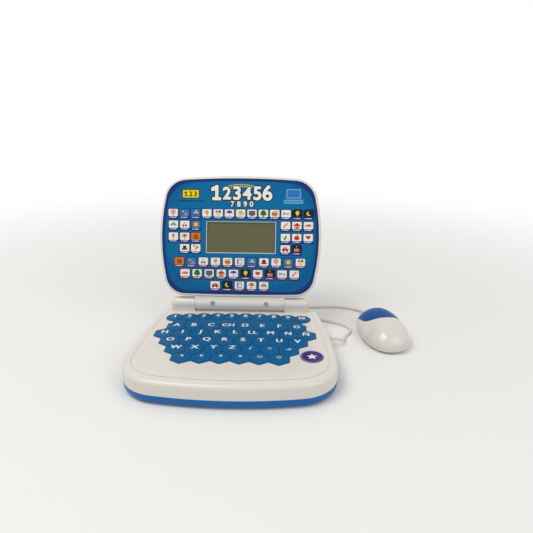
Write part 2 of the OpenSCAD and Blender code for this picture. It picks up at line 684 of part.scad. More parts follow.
back_groove_in = 8;
back_round = 3.6;
back_round_h = 4;
module lid_back_shell() color(white_plastic) on_lid() difference() {
    union() {
        difference() {
            lid_slices(concat(rounded(back_round, back_round_h, 0, -lid_back), [thin(0, 0)]));
            translate([0, 0, lid_floor]) linear_extrude(lid_back) polygon(lid_outline(lid_wall + 0.3));
        }
        intersection() { barrel(barrel_r, barrel_l); back_half(); }
        translate([-barrel_l / 2, 0, -lid_back]) cube([barrel_l, neck_end, lid_back]);
        lid_screw_places() translate([0, 0, 1 - lid_back]) cylinder(r = lid_post_r, h = lid_back - 1, $fn = 32);
    }
    difference() {
        union() {
            barrel(barrel_hollow_r, hollow_l);
            translate([-hollow_l / 2, 0, lid_floor]) cube([hollow_l, neck_end + 1, lid_back]);
        }
        both_sides() translate([hinge_screw_x, 0, -barrel_r]) cylinder(r = post_r, h = barrel_r, $fn = 32);
    }
    barrel(pin_r, barrel_l + 2);
    both_sides() translate([hinge_screw_x, 0, -6]) cylinder(r = screw_r + thread_gap, h = 7, $fn = 24);
    lid_screw_places() translate([0, 0, lid_floor])
        cylinder(r = lid_screw_r + thread_gap, h = lid_back, $fn = 24);
    translate([0, 0, -lid_back - 1]) linear_extrude(1.5) difference() {
        polygon(lid_outline(back_groove_in));
        polygon(lid_outline(back_groove_in + crease_w));
    }
}

fascia_gap = 0.1;
// Pale edge of the panel that shows round the window
window_edge = 0.9;
module lid_fascia() color("#1671c4") on_lid() translate([0, 0, face_seat]) linear_extrude(fascia_t) difference()
{
    polygon(lid_outline(rim_w + fascia_gap));
    translate([display_x, display_y]) square([window_w + 2 * window_edge, window_h + 2 * window_edge], center = true);
}

// Hinge pin: clamped in the barrel, turning in the ear, with a flange behind the bearing
pin_l = ear_hollow_start - hollow_l / 2;
pin_flange = 1.5;
module hinge_pin(hollow) along_x() difference() {
    union() {
        cylinder(r = pin_r, h = pin_l, $fn = 48);
        translate([0, 0, pin_l - eps]) cylinder(r = pin_r + pin_flange, h = pin_flange, $fn = 48);
    }
    if (hollow) translate([0, 0, -1]) cylinder(r = wire_bundle_r + 0.4, h = pin_l + 4, $fn = 32);
}
flange_gap = 0.12;
module pin_place() translate([hollow_l / 2 + flange_gap, hinge_y, axis_z]) children();
module right_hinge_pin() color(steel) pin_place() hinge_pin(false);
module left_hinge_pin() color(steel) mirror([1, 0, 0]) pin_place() hinge_pin(true);

module hinge_screws() color(steel) on_lid() both_sides() translate([hinge_screw_x, 0, 0]) {
    difference() {
        translate([0, 0, hinge_head_z]) cylinder(r = screw_head_r, h = 1.6, $fn = 32);
        translate([-0.4, -1.8, hinge_head_z + 0.8]) cube([0.8, 3.6, 2]);
        translate([-1.8, -0.4, hinge_head_z + 0.8]) cube([3.6, 0.8, 2]);
    }
    translate([0, 0, -5]) cylinder(r = screw_r, h = hinge_head_z + 5 + eps, $fn = 24);
}
module lid_screws() color(steel) on_lid() lid_screw_places() {
    translate([0, 0, face_seat - lid_head_t]) cylinder(r = lid_head_r, h = lid_head_t, $fn = 32);
    translate([0, 0, lid_floor + screw_tip_gap])
        cylinder(r = lid_screw_r, h = face_seat - lid_head_t - lid_floor - screw_tip_gap + eps, $fn = 24);
}

// Display stack, from the window back: glass, reflector, contact strips in the frame, board
glass_w = window_w + 2 * glass_lap;
glass_h = window_h + 2 * glass_lap;
glass_back = panel_back - glass_t;
reflector_t = 0.3;
frame_wall = 2.2;
frame_gap = 0.2;
frame_lip = 4;
strip_w = 2;
lcd_board_t = 1.6;
lcd_board_top = 1;
module lcd_glass() color("#7d7a5c") on_lid() at_display() translate([-glass_w / 2, -glass_h / 2, glass_back])
    cube([glass_w, glass_h, glass_t]);
reflector_h = glass_h - 2 * frame_lip - 2 * strip_w - 1;
module lcd_reflector() color("#cfcfc6") on_lid() at_display()
    translate([-glass_w / 2 + frame_lip + 0.5, -reflector_h / 2, glass_back - reflector_t])
        cube([glass_w - 2 * frame_lip - 1, reflector_h, reflector_t]);
module lcd_frame() color("#d9d7d0") on_lid() at_display() difference() {
    translate([-glass_w / 2 - frame_wall, -glass_h / 2 - frame_wall, lcd_board_top])
        cube([glass_w + 2 * frame_wall, glass_h + 2 * frame_wall, panel_back - lcd_board_top]);
    translate([-glass_w / 2 - frame_gap, -glass_h / 2 - frame_gap, glass_back])
        cube([glass_w + 2 * frame_gap, glass_h + 2 * frame_gap, glass_t + 1]);
    translate([-glass_w / 2 + frame_lip, -glass_h / 2 + frame_lip, 0])
        cube([glass_w - 2 * frame_lip, glass_h - 2 * frame_lip, glass_back + 1]);
}
module contact_strips() color("#e08a9a") on_lid() at_display() for (s = [-1, 1])
    translate([0, s * (glass_h / 2 - frame_lip - strip_w / 2 - 0.1), (lcd_board_top + glass_back) / 2])
        cube([glass_w - 2 * frame_lip - 0.2, strip_w, glass_back - lcd_board_top], center = true);
lcd_board_half = [64, 29];
module lcd_board() color(board_green) on_lid() at_display() difference() {
    translate([-lcd_board_half[0], -lcd_board_half[1], lcd_board_top - lcd_board_t])
        cube([2 * lcd_board_half[0], 2 * lcd_board_half[1], lcd_board_t]);
    board_corners(lcd_post) translate([0, 0, -3]) cylinder(r = 1.3, h = 6, $fn = 24);
}
module lcd_driver() color("#1c1c1e") on_lid() at_display() translate([18, 4, lcd_board_top - lcd_board_t])
    mirror([0, 0, 1]) dome(8, 1.8);
module lcd_board_screws() color(steel) on_lid() at_display() board_corners(lcd_post) {
    translate([0, 0, lcd_board_top - lcd_board_t - 1]) cylinder(r = lcd_head_r, h = 1, $fn = 32);
    translate([0, 0, lcd_board_top - lcd_board_t - eps]) cylinder(r = lcd_screw_r, h = 5, $fn = 24);
}
harness_turn_x = 4.5 - hollow_l / 2;
harness_end_x = display_x - glass_w / 2 + 10.5;
module lid_harness() color("#b8322c") on_lid() sweep(smooth([[harness_meet_x, 0, 0],
    [-hollow_l / 2 - 8.5, 0, 0], [-hollow_l / 2 - 2.5, 0, 0], [harness_turn_x - 2, 1, 0], [harness_turn_x, 4, 0],
    [harness_turn_x, 9, 0], [harness_turn_x, 18, -1], [harness_turn_x, 28, -1.8],
    [harness_end_x, 42, -2], [harness_end_x + 0.7, 54, -1.8], [harness_end_x + 1, display_y - 27, -1.7],
    [harness_end_x + 1.3, display_y - 20, -1.7]]), wire_bundle_r, 8);

// Mouse, in its own frame: x across, y to the nose, z up, standing on the table
module at_mouse() translate([mouse_x, mouse_y, 0]) rotate([0, 0, mouse_turn]) children();
mouse_bottom = 1;
// Slices [height, share of half length, share of half width, place along the mouse]
mouse_shape = [[mouse_bottom / mouse_h, 0.90, 0.86, 0], [0.15, 0.99, 0.97, 0], [0.30, 1, 1, 0],
    [0.50, 0.94, 0.92, -1], [0.72, 0.80, 0.74, -1], [0.88, 0.62, 0.54, 0], [0.97, 0.42, 0.34, 1],
    [1, 0.20, 0.15, 1]];
oval_steps = 40;
// Points of an oval with half sizes a and b: a true one where p is 1, squarer where it is less
function oval(a, b, p = 0.88) = [for (k = [0 : oval_steps - 1])
    let (t = 360 * k / oval_steps, c = cos(t), s = sin(t))
        [a * sign(c) * pow(abs(c), p), b * sign(s) * pow(abs(s), p)]];
function inset(share, g) = share < 0.5 ? g / 2 : g;
module mouse_solid(g) hull() for (s = mouse_shape)
    translate([0, s[3], s[0] * mouse_h - (s[0] > 0.4 ? g : 0)]) linear_extrude(eps)
        polygon(oval(s[2] * mouse_w / 2 - inset(s[2], g), s[1] * mouse_l / 2 - inset(s[1], g)));
mouse_split = 9;
module above(z) translate([-mouse_l, -mouse_l, z]) cube([2 * mouse_l, 2 * mouse_l, mouse_h]);
module below(z) translate([-mouse_l, -mouse_l, z - mouse_h]) cube([2 * mouse_l, 2 * mouse_l, mouse_h]);
button_back = -8;
button_front = 44;
button_half_w = 25;
button_square = 0.66;
// Plan of the two buttons together, grown by g
module button_plan(g) translate([0, (button_front + button_back) / 2])
    polygon(oval(button_half_w + g, (button_front - button_back) / 2 + g, button_square));
button_low = 12.5;
button_dip = (button_front - button_back) * sin(button_press) + 0.5;
boss_r = 3.6;
mouse_screw_y = -26;
mouse_post_top = 20;

module mouse_top_shell() color(white_plastic) at_mouse() difference() {
    union() {
        intersection() {
            difference() { mouse_solid(0); mouse_solid(mouse_wall); }
            above(mouse_split);
        }
        translate([0, mouse_screw_y, mouse_split]) cylinder(r = boss_r, h = mouse_post_top, $fn = 32);
    }
    translate([0, 0, button_low - button_dip]) linear_extrude(mouse_h) button_plan(button_gap);
    translate([0, mouse_screw_y, mouse_split - 1]) cylinder(r = screw_r + thread_gap, h = 9, $fn = 24);
}

mouse_floor = mouse_bottom + mouse_wall;
mouse_board_z = 9.4;
mouse_board_t = 1.6;
mouse_board_top = mouse_board_z + mouse_board_t;
mouse_board_w = 40;
mouse_board_d = 30;
mouse_board_y = 19;
mouse_post_r = 2.2;
mouse_board_post = [[-16, 8], [16, 8], [0, 31]];
module mouse_posts() for (p = mouse_board_post) translate(p) children();
mouse_head_z = mouse_bottom + 2.4;
module mouse_bottom_shell() color(white_plastic) at_mouse() difference() {
    union() {
        difference() {
            intersection() { mouse_solid(0); below(mouse_split); }
            intersection() { mouse_solid(mouse_wall); above(mouse_floor); }
        }
        translate([0, mouse_screw_y, mouse_floor - post_sink])
            cylinder(r = boss_r + 1, h = mouse_split - mouse_floor + post_sink, $fn = 32);
        mouse_posts() translate([0, 0, mouse_floor - post_sink])
            cylinder(r = mouse_post_r, h = mouse_board_z - mouse_floor + post_sink, $fn = 32);
    }
    translate([0, mouse_screw_y, mouse_bottom - 1])
        cylinder(r = screw_head_r + driver_gap, h = mouse_head_z - mouse_bottom + 1, $fn = 32);
    translate([0, mouse_screw_y, mouse_head_z]) {
        cylinder(r = screw_head_r + head_gap, h = screw_head_t, $fn = 32);
        cylinder(r = screw_r + thread_gap, h = mouse_split, $fn = 24);
    }
    grommet_hole();
}
module mouse_screw() color(steel) at_mouse() translate([0, mouse_screw_y, mouse_head_z]) {
    cylinder(r = screw_head_r, h = screw_head_t, $fn = 32);
    translate([0, 0, screw_head_t - eps])
        cylinder(r = screw_r, h = mouse_split + 7 - mouse_head_z - screw_head_t, $fn = 24);
}
mouse_pad_places = [[0, 36], [-17, -30], [17, -30]];
module mouse_feet() color("#d8d6cf") at_mouse() for (p = mouse_pad_places) translate(p)
    cylinder(r = 5, h = mouse_bottom, $fn = 48);

module mouse_board() color(board_green) at_mouse()
    translate([-mouse_board_w / 2, mouse_board_y - mouse_board_d / 2, mouse_board_z])
        cube([mouse_board_w, mouse_board_d, mouse_board_t]);
switch_x = 12;
switch_y = 24;
switch_w = 6;
switch_h = 3.5;
stem_r = 1.6;
stem_gap = 0.45;
stem_up = 0.8;
stem_depth = 1.2;
stem_room = 0.9;
switch_top = mouse_board_top + switch_h;
module mouse_switches() color("#2c2c30") at_mouse() for (s = [-1, 1])
    translate([s * switch_x, switch_y, mouse_board_top]) difference() {
        translate([-switch_w / 2, -switch_w / 2, 0]) cube([switch_w, switch_w, switch_h]);
        translate([0, 0, switch_h - stem_depth - stem_room])
            cylinder(r = stem_r + stem_gap, h = switch_h, $fn = 32);
    }
module plunger(s) color("#c6382c") at_mouse() translate([s * switch_x, switch_y, switch_top - stem_depth])
    cylinder(r = stem_r, h = stem_depth + stem_up, $fn = 32);
module mouse_left_plunger() plunger(-1);
module mouse_right_plunger() plunger(1);
rib_r = 1.8;
module mouse_button(s) color(blue_plastic) at_mouse() union() {
    intersection() {
        difference() { mouse_solid(0); mouse_solid(mouse_wall); }
        translate([0, 0, button_low]) linear_extrude(mouse_h) intersection() {
            button_plan(0);
            translate([s > 0 ? button_gap / 2 : -mouse_w, -mouse_l]) square([mouse_w - button_gap / 2, 2 * mouse_l]);
        }
    }
    intersection() {
        mouse_solid(mouse_wall / 2);
        translate([s * switch_x, switch_y, switch_top + stem_up]) cylinder(r = rib_r, h = mouse_h, $fn = 32);
    }
}
module mouse_left_button() mouse_button(-1);
module mouse_right_button() mouse_button(1);

// Lead: leaves the base, lies on the table beside and behind it, and ends at the mouse's nose
gland_out = 8;
gland_tip_r = lead_d / 2 + 0.5;
gland_collar = 1;
gland_lip_t = 1;
gland_lip_x = lead_side_x - base_wall - gland_lip_gap - gland_lip_t;
gland_face_x = lead_side_x + gland_out;
module lead_gland() color(white_plastic) translate([0, lead_y, lead_z]) along_x() union() {
    translate([0, 0, gland_lip_x]) cylinder(r = gland_lip_r, h = gland_lip_t, $fn = 48);
    translate([0, 0, gland_lip_x]) cylinder(r = gland_r, h = lead_side_x + gland_collar - gland_lip_x, $fn = 48);
    translate([0, 0, lead_side_x + gland_collar - eps])
        cylinder(r1 = gland_r, r2 = gland_tip_r, h = gland_out - gland_collar + eps, $fn = 48);
}
grommet_z = 6;
grommet_out = 5;
grommet_r = 3;
module grommet_hole() translate([0, mouse_l / 2 - 5, grommet_z]) rotate([-90, 0, 0])
    cylinder(r = grommet_r + gland_gap, h = 10, $fn = 48);
module lead_grommet() color(white_plastic) at_mouse() translate([0, 0, grommet_z]) rotate([-90, 0, 0]) union() {
    translate([0, 0, mouse_l / 2 - 4]) cylinder(r = grommet_r, h = 4.5, $fn = 48);
    translate([0, 0, mouse_l / 2 + 0.5 - eps])
        cylinder(r1 = grommet_r, r2 = gland_tip_r, h = grommet_out - 0.5 + eps, $fn = 48);
}
nose_out = mouse_l / 2 + grommet_out;
mouse_nose = [mouse_x - nose_out * sin(mouse_turn), mouse_y + nose_out * cos(mouse_turn)];
// Points of the lead: straight out of the base, down to the table, one bend beside the base,
// one fold behind it, and up to the nose of the mouse
lead_points = [[gland_face_x, lead_y, lead_z], [127, 42.4, 11.2], [133, 45, 8.4], [137, 51, 4.6], [139, 59, 2.2],
    [142, 67, 1.8], [147, 75, 1.8], [150, 84, 1.8], [148, 94, 1.8], [140, 102, 1.8], [129, 108, 1.8],
    [116, 114, 1.8], [102, 119, 1.8], [87, 123, 1.8], [72, 126, 1.8], [57, 128, 1.8], [42, 129, 1.8],
    [29, 132, 1.8], [21, 139, 1.8], [21, 149, 1.8], [29, 156, 1.8], [42, 158, 1.8], [57, 158, 1.8],
    [72, 158, 1.8], [87, 158, 1.8], [102, 158, 1.8], [117, 159, 1.8], [132, 160, 1.8], [147, 159, 1.8],
    [160, 155, 1.8], [170, 149, 2.2], [177, 141, 3.6], [181, 132, 5.4],
    [mouse_nose[0], mouse_nose[1], grommet_z]];
module mouse_lead() color(white_plastic) sweep(smooth(lead_points), lead_d / 2, 8);

base_top_shell();
base_bottom_shell();
rubber_feet();
case_screws();
keypad_film();
keypad_spacer();
keypad_circuit();
corner_badge();
main_board();
board_chip();
board_parts();
board_screws();
speaker_basket();
speaker_cone();
speaker_magnet();
battery_door();
battery_door_screw();
battery_cells();
contact_plates();
contact_springs();
base_harness();
lead_gland();
mouse_lead();
left_hinge_pin();
right_hinge_pin();
lid_front_shell();
lid_back_shell();
lid_fascia();
hinge_screws();
lid_screws();
lcd_glass();
lcd_reflector();
lcd_frame();
contact_strips();
lcd_board();
lcd_driver();
lcd_board_screws();
lid_harness();
mouse_top_shell();
mouse_bottom_shell();
mouse_left_button();
mouse_right_button();
mouse_left_plunger();
mouse_right_plunger();
mouse_board();
mouse_switches();
mouse_screw();
mouse_feet();
lead_grommet();
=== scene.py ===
"""Looks of a toy laptop computer with a hinged lid and a corded mouse, piece by piece.

Sizes are in millimetres, and each piece is scaled to metres when it is put in its place.
"""

import logging
import math
from dataclasses import dataclass, field
from enum import Enum
from typing import Callable, Sequence

import bmesh
import bpy
from mathutils import Matrix, Vector


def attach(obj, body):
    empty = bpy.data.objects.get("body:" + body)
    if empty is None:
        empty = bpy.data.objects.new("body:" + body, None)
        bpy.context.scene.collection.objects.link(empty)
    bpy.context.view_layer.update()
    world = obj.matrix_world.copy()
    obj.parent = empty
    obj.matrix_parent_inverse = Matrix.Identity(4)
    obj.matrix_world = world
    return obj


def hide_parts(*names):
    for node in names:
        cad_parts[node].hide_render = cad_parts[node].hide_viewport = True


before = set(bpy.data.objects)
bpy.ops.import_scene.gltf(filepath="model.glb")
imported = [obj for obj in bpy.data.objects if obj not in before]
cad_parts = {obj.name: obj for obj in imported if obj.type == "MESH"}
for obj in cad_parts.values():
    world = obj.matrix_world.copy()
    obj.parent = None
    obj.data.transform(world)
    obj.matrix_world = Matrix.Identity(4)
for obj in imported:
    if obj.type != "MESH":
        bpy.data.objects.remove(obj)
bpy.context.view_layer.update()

log = logging.getLogger("toy_laptop")
Point = tuple[float, float]
Colour = tuple[float, float, float, float]
Socket = bpy.types.NodeSocket
Number = Socket | float
Paint = Socket | Colour
Outline = Callable[[float], list[Point]]

MM = 0.001
HINGE_Y, HINGE_Z, LID_TILT = 84.0, 39.5, 72.0
MOUSE_X, MOUSE_Y, MOUSE_TURN = 190.0, 70.0, 8.0
MILLIMETRES = Matrix.Scale(MM, 4)
ON_BASE = MILLIMETRES
ON_LID = (Matrix.Translation((0, HINGE_Y * MM, HINGE_Z * MM))
          @ Matrix.Rotation(math.radians(LID_TILT), 4, "X") @ MILLIMETRES)
ON_MOUSE = (Matrix.Translation((MOUSE_X * MM, MOUSE_Y * MM, 0))
            @ Matrix.Rotation(math.radians(MOUSE_TURN), 4, "Z") @ MILLIMETRES)


def ink(red: int, green: int, blue: int) -> Colour:
    """A display colour as the linear one that a shader takes.

    Args:
        red, green, blue: The colour, each from 0 to 255.

    Returns:
        The linear colour with full alpha.
    """
    shares = [part / 255 for part in (red, green, blue)]
    linear = [s / 12.92 if s <= 0.04045 else ((s + 0.055) / 1.055) ** 2.4 for s in shares]
    return (linear[0], linear[1], linear[2], 1.0)


def scaled(colour: Colour, factor: float) -> Colour:
    """The colour made lighter or darker by a factor."""
    return (min(colour[0] * factor, 1), min(colour[1] * factor, 1), min(colour[2] * factor, 1), 1.0)


# ---------------------------------------------------------------- finishes


class Recipe:
    """A material's node tree, written one step at a time on Object coordinates."""

    def __init__(self, name: str) -> None:
        """Starts a material with a plain shader.

        Args:
            name: The material's name.
        """
        self.material = bpy.data.materials.new(name)
        self.material.use_nodes = True
        self.tree = self.material.node_tree
        self.shader = self.tree.nodes["Principled BSDF"]
        self.place = self.node("ShaderNodeTexCoord").outputs["Object"]

    def node(self, kind: str, feeds: dict | None = None, **settings) -> bpy.types.Node:
        """Adds a node.

        Args:
            kind: The node's type.
            feeds: Input name or number to a socket or a plain value.
            settings: The node's own properties.

        Returns:
            The new node.
        """
        made = self.tree.nodes.new(kind)
        for name, value in settings.items():
            setattr(made, name, value)
        for name, value in (feeds or {}).items():
            if isinstance(value, Socket):
                self.tree.links.new(value, made.inputs[name])
            else:
                made.inputs[name].default_value = value
        return made

    def noise(self, scale: float, detail: float = 3.0, place: Socket | None = None) -> Socket:
        """Noise of a given scale, as a socket from 0 to 1."""
        feeds = {"Vector": place or self.place, "Scale": scale, "Detail": detail}
        return self.node("ShaderNodeTexNoise", feeds).outputs["Fac"]

    def math(self, operation: str, first: Number, second: Number = 0.0, third: Number = 0.0) -> Socket:
        """One sum on sockets or numbers, as a socket."""
        feeds = {0: first, 1: second, 2: third}
        return self.node("ShaderNodeMath", feeds, operation=operation).outputs[0]

    def mix(self, share: Number, first: Paint, second: Paint) -> Socket:
        """Mixes two colours.

        Args:
            share: How much of the second one there is.
            first: The first colour.
            second: The second colour.

        Returns:
            The mixed colour's socket.
        """
        made = self.node("ShaderNodeMix", {"Factor": share}, data_type="RGBA")
        for slot, value in ((6, first), (7, second)):
            if isinstance(value, Socket):
                self.tree.links.new(value, made.inputs[slot])
            else:
                made.inputs[slot].default_value = value
        return made.outputs[2]

    def ramp(self, value: Socket, stops: Sequence[tuple[float, Colour]]) -> Socket:
        """A colour ramp.

        Args:
            value: What picks the colour.
            stops: The ramp's places and colours.

        Returns:
            The picked colour's socket.
        """
        made = self.node("ShaderNodeValToRGB", {"Fac": value})
        points = made.color_ramp.elements
        while len(points) < len(stops):
            points.new(0.5)
        for point, (place, colour) in zip(points, stops):
            point.position, point.color = place, colour
        return made.outputs["Color"]

    def frame_of(self, matrix: Matrix) -> Socket:
        """Object coordinates turned into a sub-assembly's own frame, in metres, as a socket."""
        feeds = {"Vector": self.place, "Location": matrix.to_translation(), "Rotation": matrix.to_euler()}
        return self.node("ShaderNodeMapping", feeds, vector_type="TEXTURE").outputs["Vector"]

    def set(self, **values) -> None:
        """Sets the shader's own sockets, named with underscores for spaces."""
        for name, value in values.items():
            socket = self.shader.inputs[name.replace("_", " ")]
            if isinstance(value, Socket):
                self.tree.links.new(value, socket)
            else:
                socket.default_value = value

    def relief(self, height: Socket, depth: float) -> None:
        """Bumps the surface by a height from 0 to 1.

        Args:
            height: The height's socket.
            depth: What a height of 1 is, in metres.
        """
        made = self.node("ShaderNodeBump", {"Height": height, "Distance": depth, "Strength": 1.0})
        self.tree.links.new(made.outputs["Normal"], self.shader.inputs["Normal"])


MELT_FLOW = 22
WEAR_SCALE, WEAR_SPREAD = 90, 0.12
COAT_ROUGHNESS = 0.08


@dataclass(frozen=True)
class Finish:
    """A moulded plastic, which the other finishes build on."""

    name: str
    colour: Colour
    roughness: float = 0.35
    metal: float = 0.0
    coat: float = 0.0
    grain: float = 1500.0
    grain_depth: float = 0.00001
    drift: float = 0.05
    gloss: float = 0.4

    def colours(self, recipe: Recipe) -> Socket:
        """The surface's colour: the flow of the melt drifts it a little."""
        flow = recipe.noise(MELT_FLOW, 4)
        return recipe.mix(flow, scaled(self.colour, 1 - self.drift), scaled(self.colour, 1 + self.drift))

    def height(self, recipe: Recipe) -> Socket:
        """The surface's fine relief."""
        return recipe.noise(self.grain, 2)

    def make(self) -> bpy.types.Material:
        """Writes the material.

        Returns:
            The new material.
        """
        recipe = Recipe(self.name)
        recipe.set(Base_Color=self.colours(recipe), Metallic=self.metal)
        wear = recipe.math("MULTIPLY_ADD", recipe.noise(WEAR_SCALE, 3), WEAR_SPREAD, self.roughness - WEAR_SPREAD / 2)
        recipe.set(Roughness=wear, Coat_Weight=self.coat, Coat_Roughness=COAT_ROUGHNESS,
                   Specular_IOR_Level=self.gloss)
        recipe.relief(self.height(recipe), self.grain_depth)
        return recipe.material


@dataclass(frozen=True)
class Steel(Finish):
    """Turned or pressed metal with fine streaks along one axis."""

    metal: float = 1.0
    roughness: float = 0.34
    streaks: tuple[float, float, float] = (1, 1, 14)

    def height(self, recipe: Recipe) -> Socket:
        """Long, thin scratches."""
        feeds = {"Vector": recipe.place, "Scale": self.streaks}
        return recipe.noise(420, 4, recipe.node("ShaderNodeMapping", feeds).outputs["Vector"])


@dataclass(frozen=True)
class Film(Finish):
    """Printed keypad film: a satin blue with a fine screen pattern."""

    grain_depth: float = 0.000012

    def colours(self, recipe: Recipe) -> Socket:
        """Ink that is a little uneven, with the screen's dots.

        Args:
            recipe: The material's recipe.

        Returns:
            The colour's socket.
        """
        cloud = recipe.noise(14, 3)
        body = recipe.mix(cloud, scaled(self.colour, 0.93), scaled(self.colour, 1.07))
        dots = recipe.node("ShaderNodeTexVoronoi", {"Vector": recipe.place, "Scale": 2600}).outputs["Distance"]
        return recipe.mix(recipe.math("MULTIPLY", dots, 0.12), body, scaled(self.colour, 0.8))


@dataclass(frozen=True)
class LidPrint(Finish):
    """The lid's printed sheet: a bright oval field on a deeper blue."""

    outer: Colour = ink(3, 88, 142)
    middle: Point = (0.0, 0.093)
    half: Point = (0.1, 0.077)
    power: float = 2.6

    def colours(self, recipe: Recipe) -> Socket:
        """The field's blues, by how far out a point of the lid's face lies.

        Args:
            recipe: The material's recipe.

        Returns:
            The colour's socket.
        """
        spot = recipe.node("ShaderNodeSeparateXYZ", {"Vector": recipe.frame_of(ON_LID)}).outputs
        far = [recipe.math("POWER", recipe.math("ABSOLUTE", recipe.math(
            "DIVIDE", recipe.math("SUBTRACT", spot[axis], self.middle[axis]), self.half[axis])), self.power)
            for axis in (0, 1)]
        out = recipe.math("ADD", far[0], far[1])
        printed = recipe.ramp(out, [(0.0, scaled(self.colour, 1.06)), (0.6, self.colour),
                                    (0.93, scaled(self.colour, 0.95)), (0.97, self.outer)])
        return recipe.mix(recipe.math("MULTIPLY", recipe.noise(30, 3), 0.1), printed, scaled(self.colour, 1.25))


@dataclass(frozen=True)
class Board(Finish):
    """Circuit board lacquer over copper tracks."""

    copper: Colour = ink(96, 150, 84)
    pitch: float = 180.0

    def tracks(self, recipe: Recipe) -> Socket:
        """Where the copper lies under the lacquer."""
        feeds = {"Vector": recipe.place, "Scale": self.pitch, "Mortar Size": 0.012, "Mortar Smooth": 0.2}
        return recipe.node("ShaderNodeTexBrick", feeds).outputs["Fac"]

    def colours(self, recipe: Recipe) -> Socket:
        """Green over bare board and lighter green over copper."""
        cloud = recipe.mix(recipe.noise(40, 3), scaled(self.colour, 0.9), scaled(self.colour, 1.1))
        return recipe.mix(self.tracks(recipe), cloud, self.copper)

    def height(self, recipe: Recipe) -> Socket:
        """The tracks stand a little proud."""
        return self.tracks(recipe)


@dataclass(frozen=True)
class Liquid(Finish):
    """The display's cell behind its glass: olive, a little mottled, with the dot matrix just showing."""

    pitch: float = 1100.0

    def colours(self, recipe: Recipe) -> Socket:
        """Olive with the faint grid of the dots.

        Args:
            recipe: The material's recipe.

        Returns:
            The colour's socket.
        """
        cloud = recipe.mix(recipe.noise(12, 2), scaled(self.colour, 0.95), scaled(self.colour, 1.05))
        feeds = {"Vector": recipe.frame_of(ON_LID), "Scale": self.pitch, "Mortar Size": 0.03}
        grid = recipe.node("ShaderNodeTexBrick", feeds, offset=0.0).outputs["Fac"]
        return recipe.mix(recipe.math("MULTIPLY", grid, 0.1), cloud, scaled(self.colour, 0.7))


@dataclass(frozen=True)
class Wound(Finish):
    """Anything with fine rings or a pressed weave, such as a loudspeaker's paper."""

    ripple: float = 260.0

    def height(self, recipe: Recipe) -> Socket:
        """Even ripples with the paper's fibre on them."""
        feeds = {"Vector": recipe.place, "Scale": self.ripple, "Distortion": 1.2, "Detail": 3}
        return recipe.node("ShaderNodeTexWave", feeds).outputs["Fac"]


WHITE = ink(214, 210, 203)
NAVY = ink(14, 26, 62)
FIELD_BLUE = ink(2, 100, 150)
KEY_BLUE = ink(5, 91, 141)
FINISHES: dict[str, Finish] = {f.name: f for f in (
    Finish("white_plastic", WHITE, 0.3, coat=0.25, drift=0.02),
    Finish("white_gloss", ink(212, 208, 202), 0.2, coat=0.5, drift=0.02),
    Finish("blue_plastic", ink(12, 98, 168), 0.32, gloss=0.25),
    Finish("blue_button", ink(3, 78, 142), 0.26, drift=0.04, gloss=0.06),
    Finish("black_rubber", ink(38, 38, 40), 0.75, grain=600, grain_depth=0.00003),
    Steel("screw_steel", ink(150, 148, 142)),
    Steel("pin_steel", ink(178, 178, 176), roughness=0.22, streaks=(14, 1, 1)),
    Film("keypad_print", KEY_BLUE, 0.38, gloss=0.12),
    Finish("clear_film", ink(214, 216, 212), 0.25),
    Board("circuit_film", ink(196, 184, 140), 0.4, copper=ink(150, 146, 136), pitch=120),
    Finish("badge_print", ink(52, 30, 98), 0.25, gloss=0.3),
    Board("board_green", ink(38, 104, 58), 0.35, coat=0.2),
    Finish("chip_black", ink(30, 30, 32), 0.28),
    Finish("board_parts", ink(190, 170, 120), 0.4, drift=0.25, grain=900),
    Steel("speaker_steel", ink(160, 162, 166)),
    Wound("speaker_paper", ink(44, 44, 48), 0.8, grain_depth=0.00005),
    Steel("magnet_steel", ink(96, 98, 102), roughness=0.45, metal=0.8),
    Steel("cell_can", ink(70, 74, 80), roughness=0.3, metal=0.7, streaks=(14, 1, 1)),
    Steel("contact_nickel", ink(206, 202, 190), roughness=0.2),
    Wound("wire_red", ink(170, 44, 38), 0.45, ripple=400),
    Finish("white_lead", ink(214, 210, 204), 0.38, grain=900, drift=0.02),
    Finish("slide_pad", ink(206, 202, 194), 0.5, drift=0.03),
    LidPrint("fascia_print", FIELD_BLUE, 0.26, gloss=0.12),
    Liquid("display_glass", ink(95, 95, 69), 0.2, gloss=0.2),
    Finish("reflector_foil", ink(206, 206, 198), 0.3, metal=0.6),
    Finish("frame_plastic", ink(208, 205, 198), 0.4),
    Wound("pink_silicone", ink(216, 140, 152), 0.5, ripple=3000),
    Finish("plunger_red", ink(190, 58, 48), 0.4),
)}
INKS: dict[str, Colour] = {
    "white": ink(226, 224, 218), "navy": NAVY, "label": ink(26, 60, 140), "plum": ink(108, 50, 116),
    "sky": ink(40, 112, 176), "pale": ink(120, 176, 214), "grey": ink(138, 142, 146), "dark": ink(24, 24, 30),
    "brown": ink(100, 54, 28), "red": ink(190, 36, 34), "orange": ink(214, 112, 22), "yellow": ink(222, 200, 20),
    "green": ink(24, 104, 44), "lime": ink(116, 158, 44), "pink": ink(206, 104, 148), "violet": ink(84, 52, 146),
    "sand": ink(198, 166, 108), "lilac": ink(134, 84, 166), "steel": ink(84, 94, 112),
    # groove is a painted shade: the dark of the narrow gaps between the keypad's raised keys
    "royal": ink(10, 50, 112), "groove": ink(4, 64, 108),
}


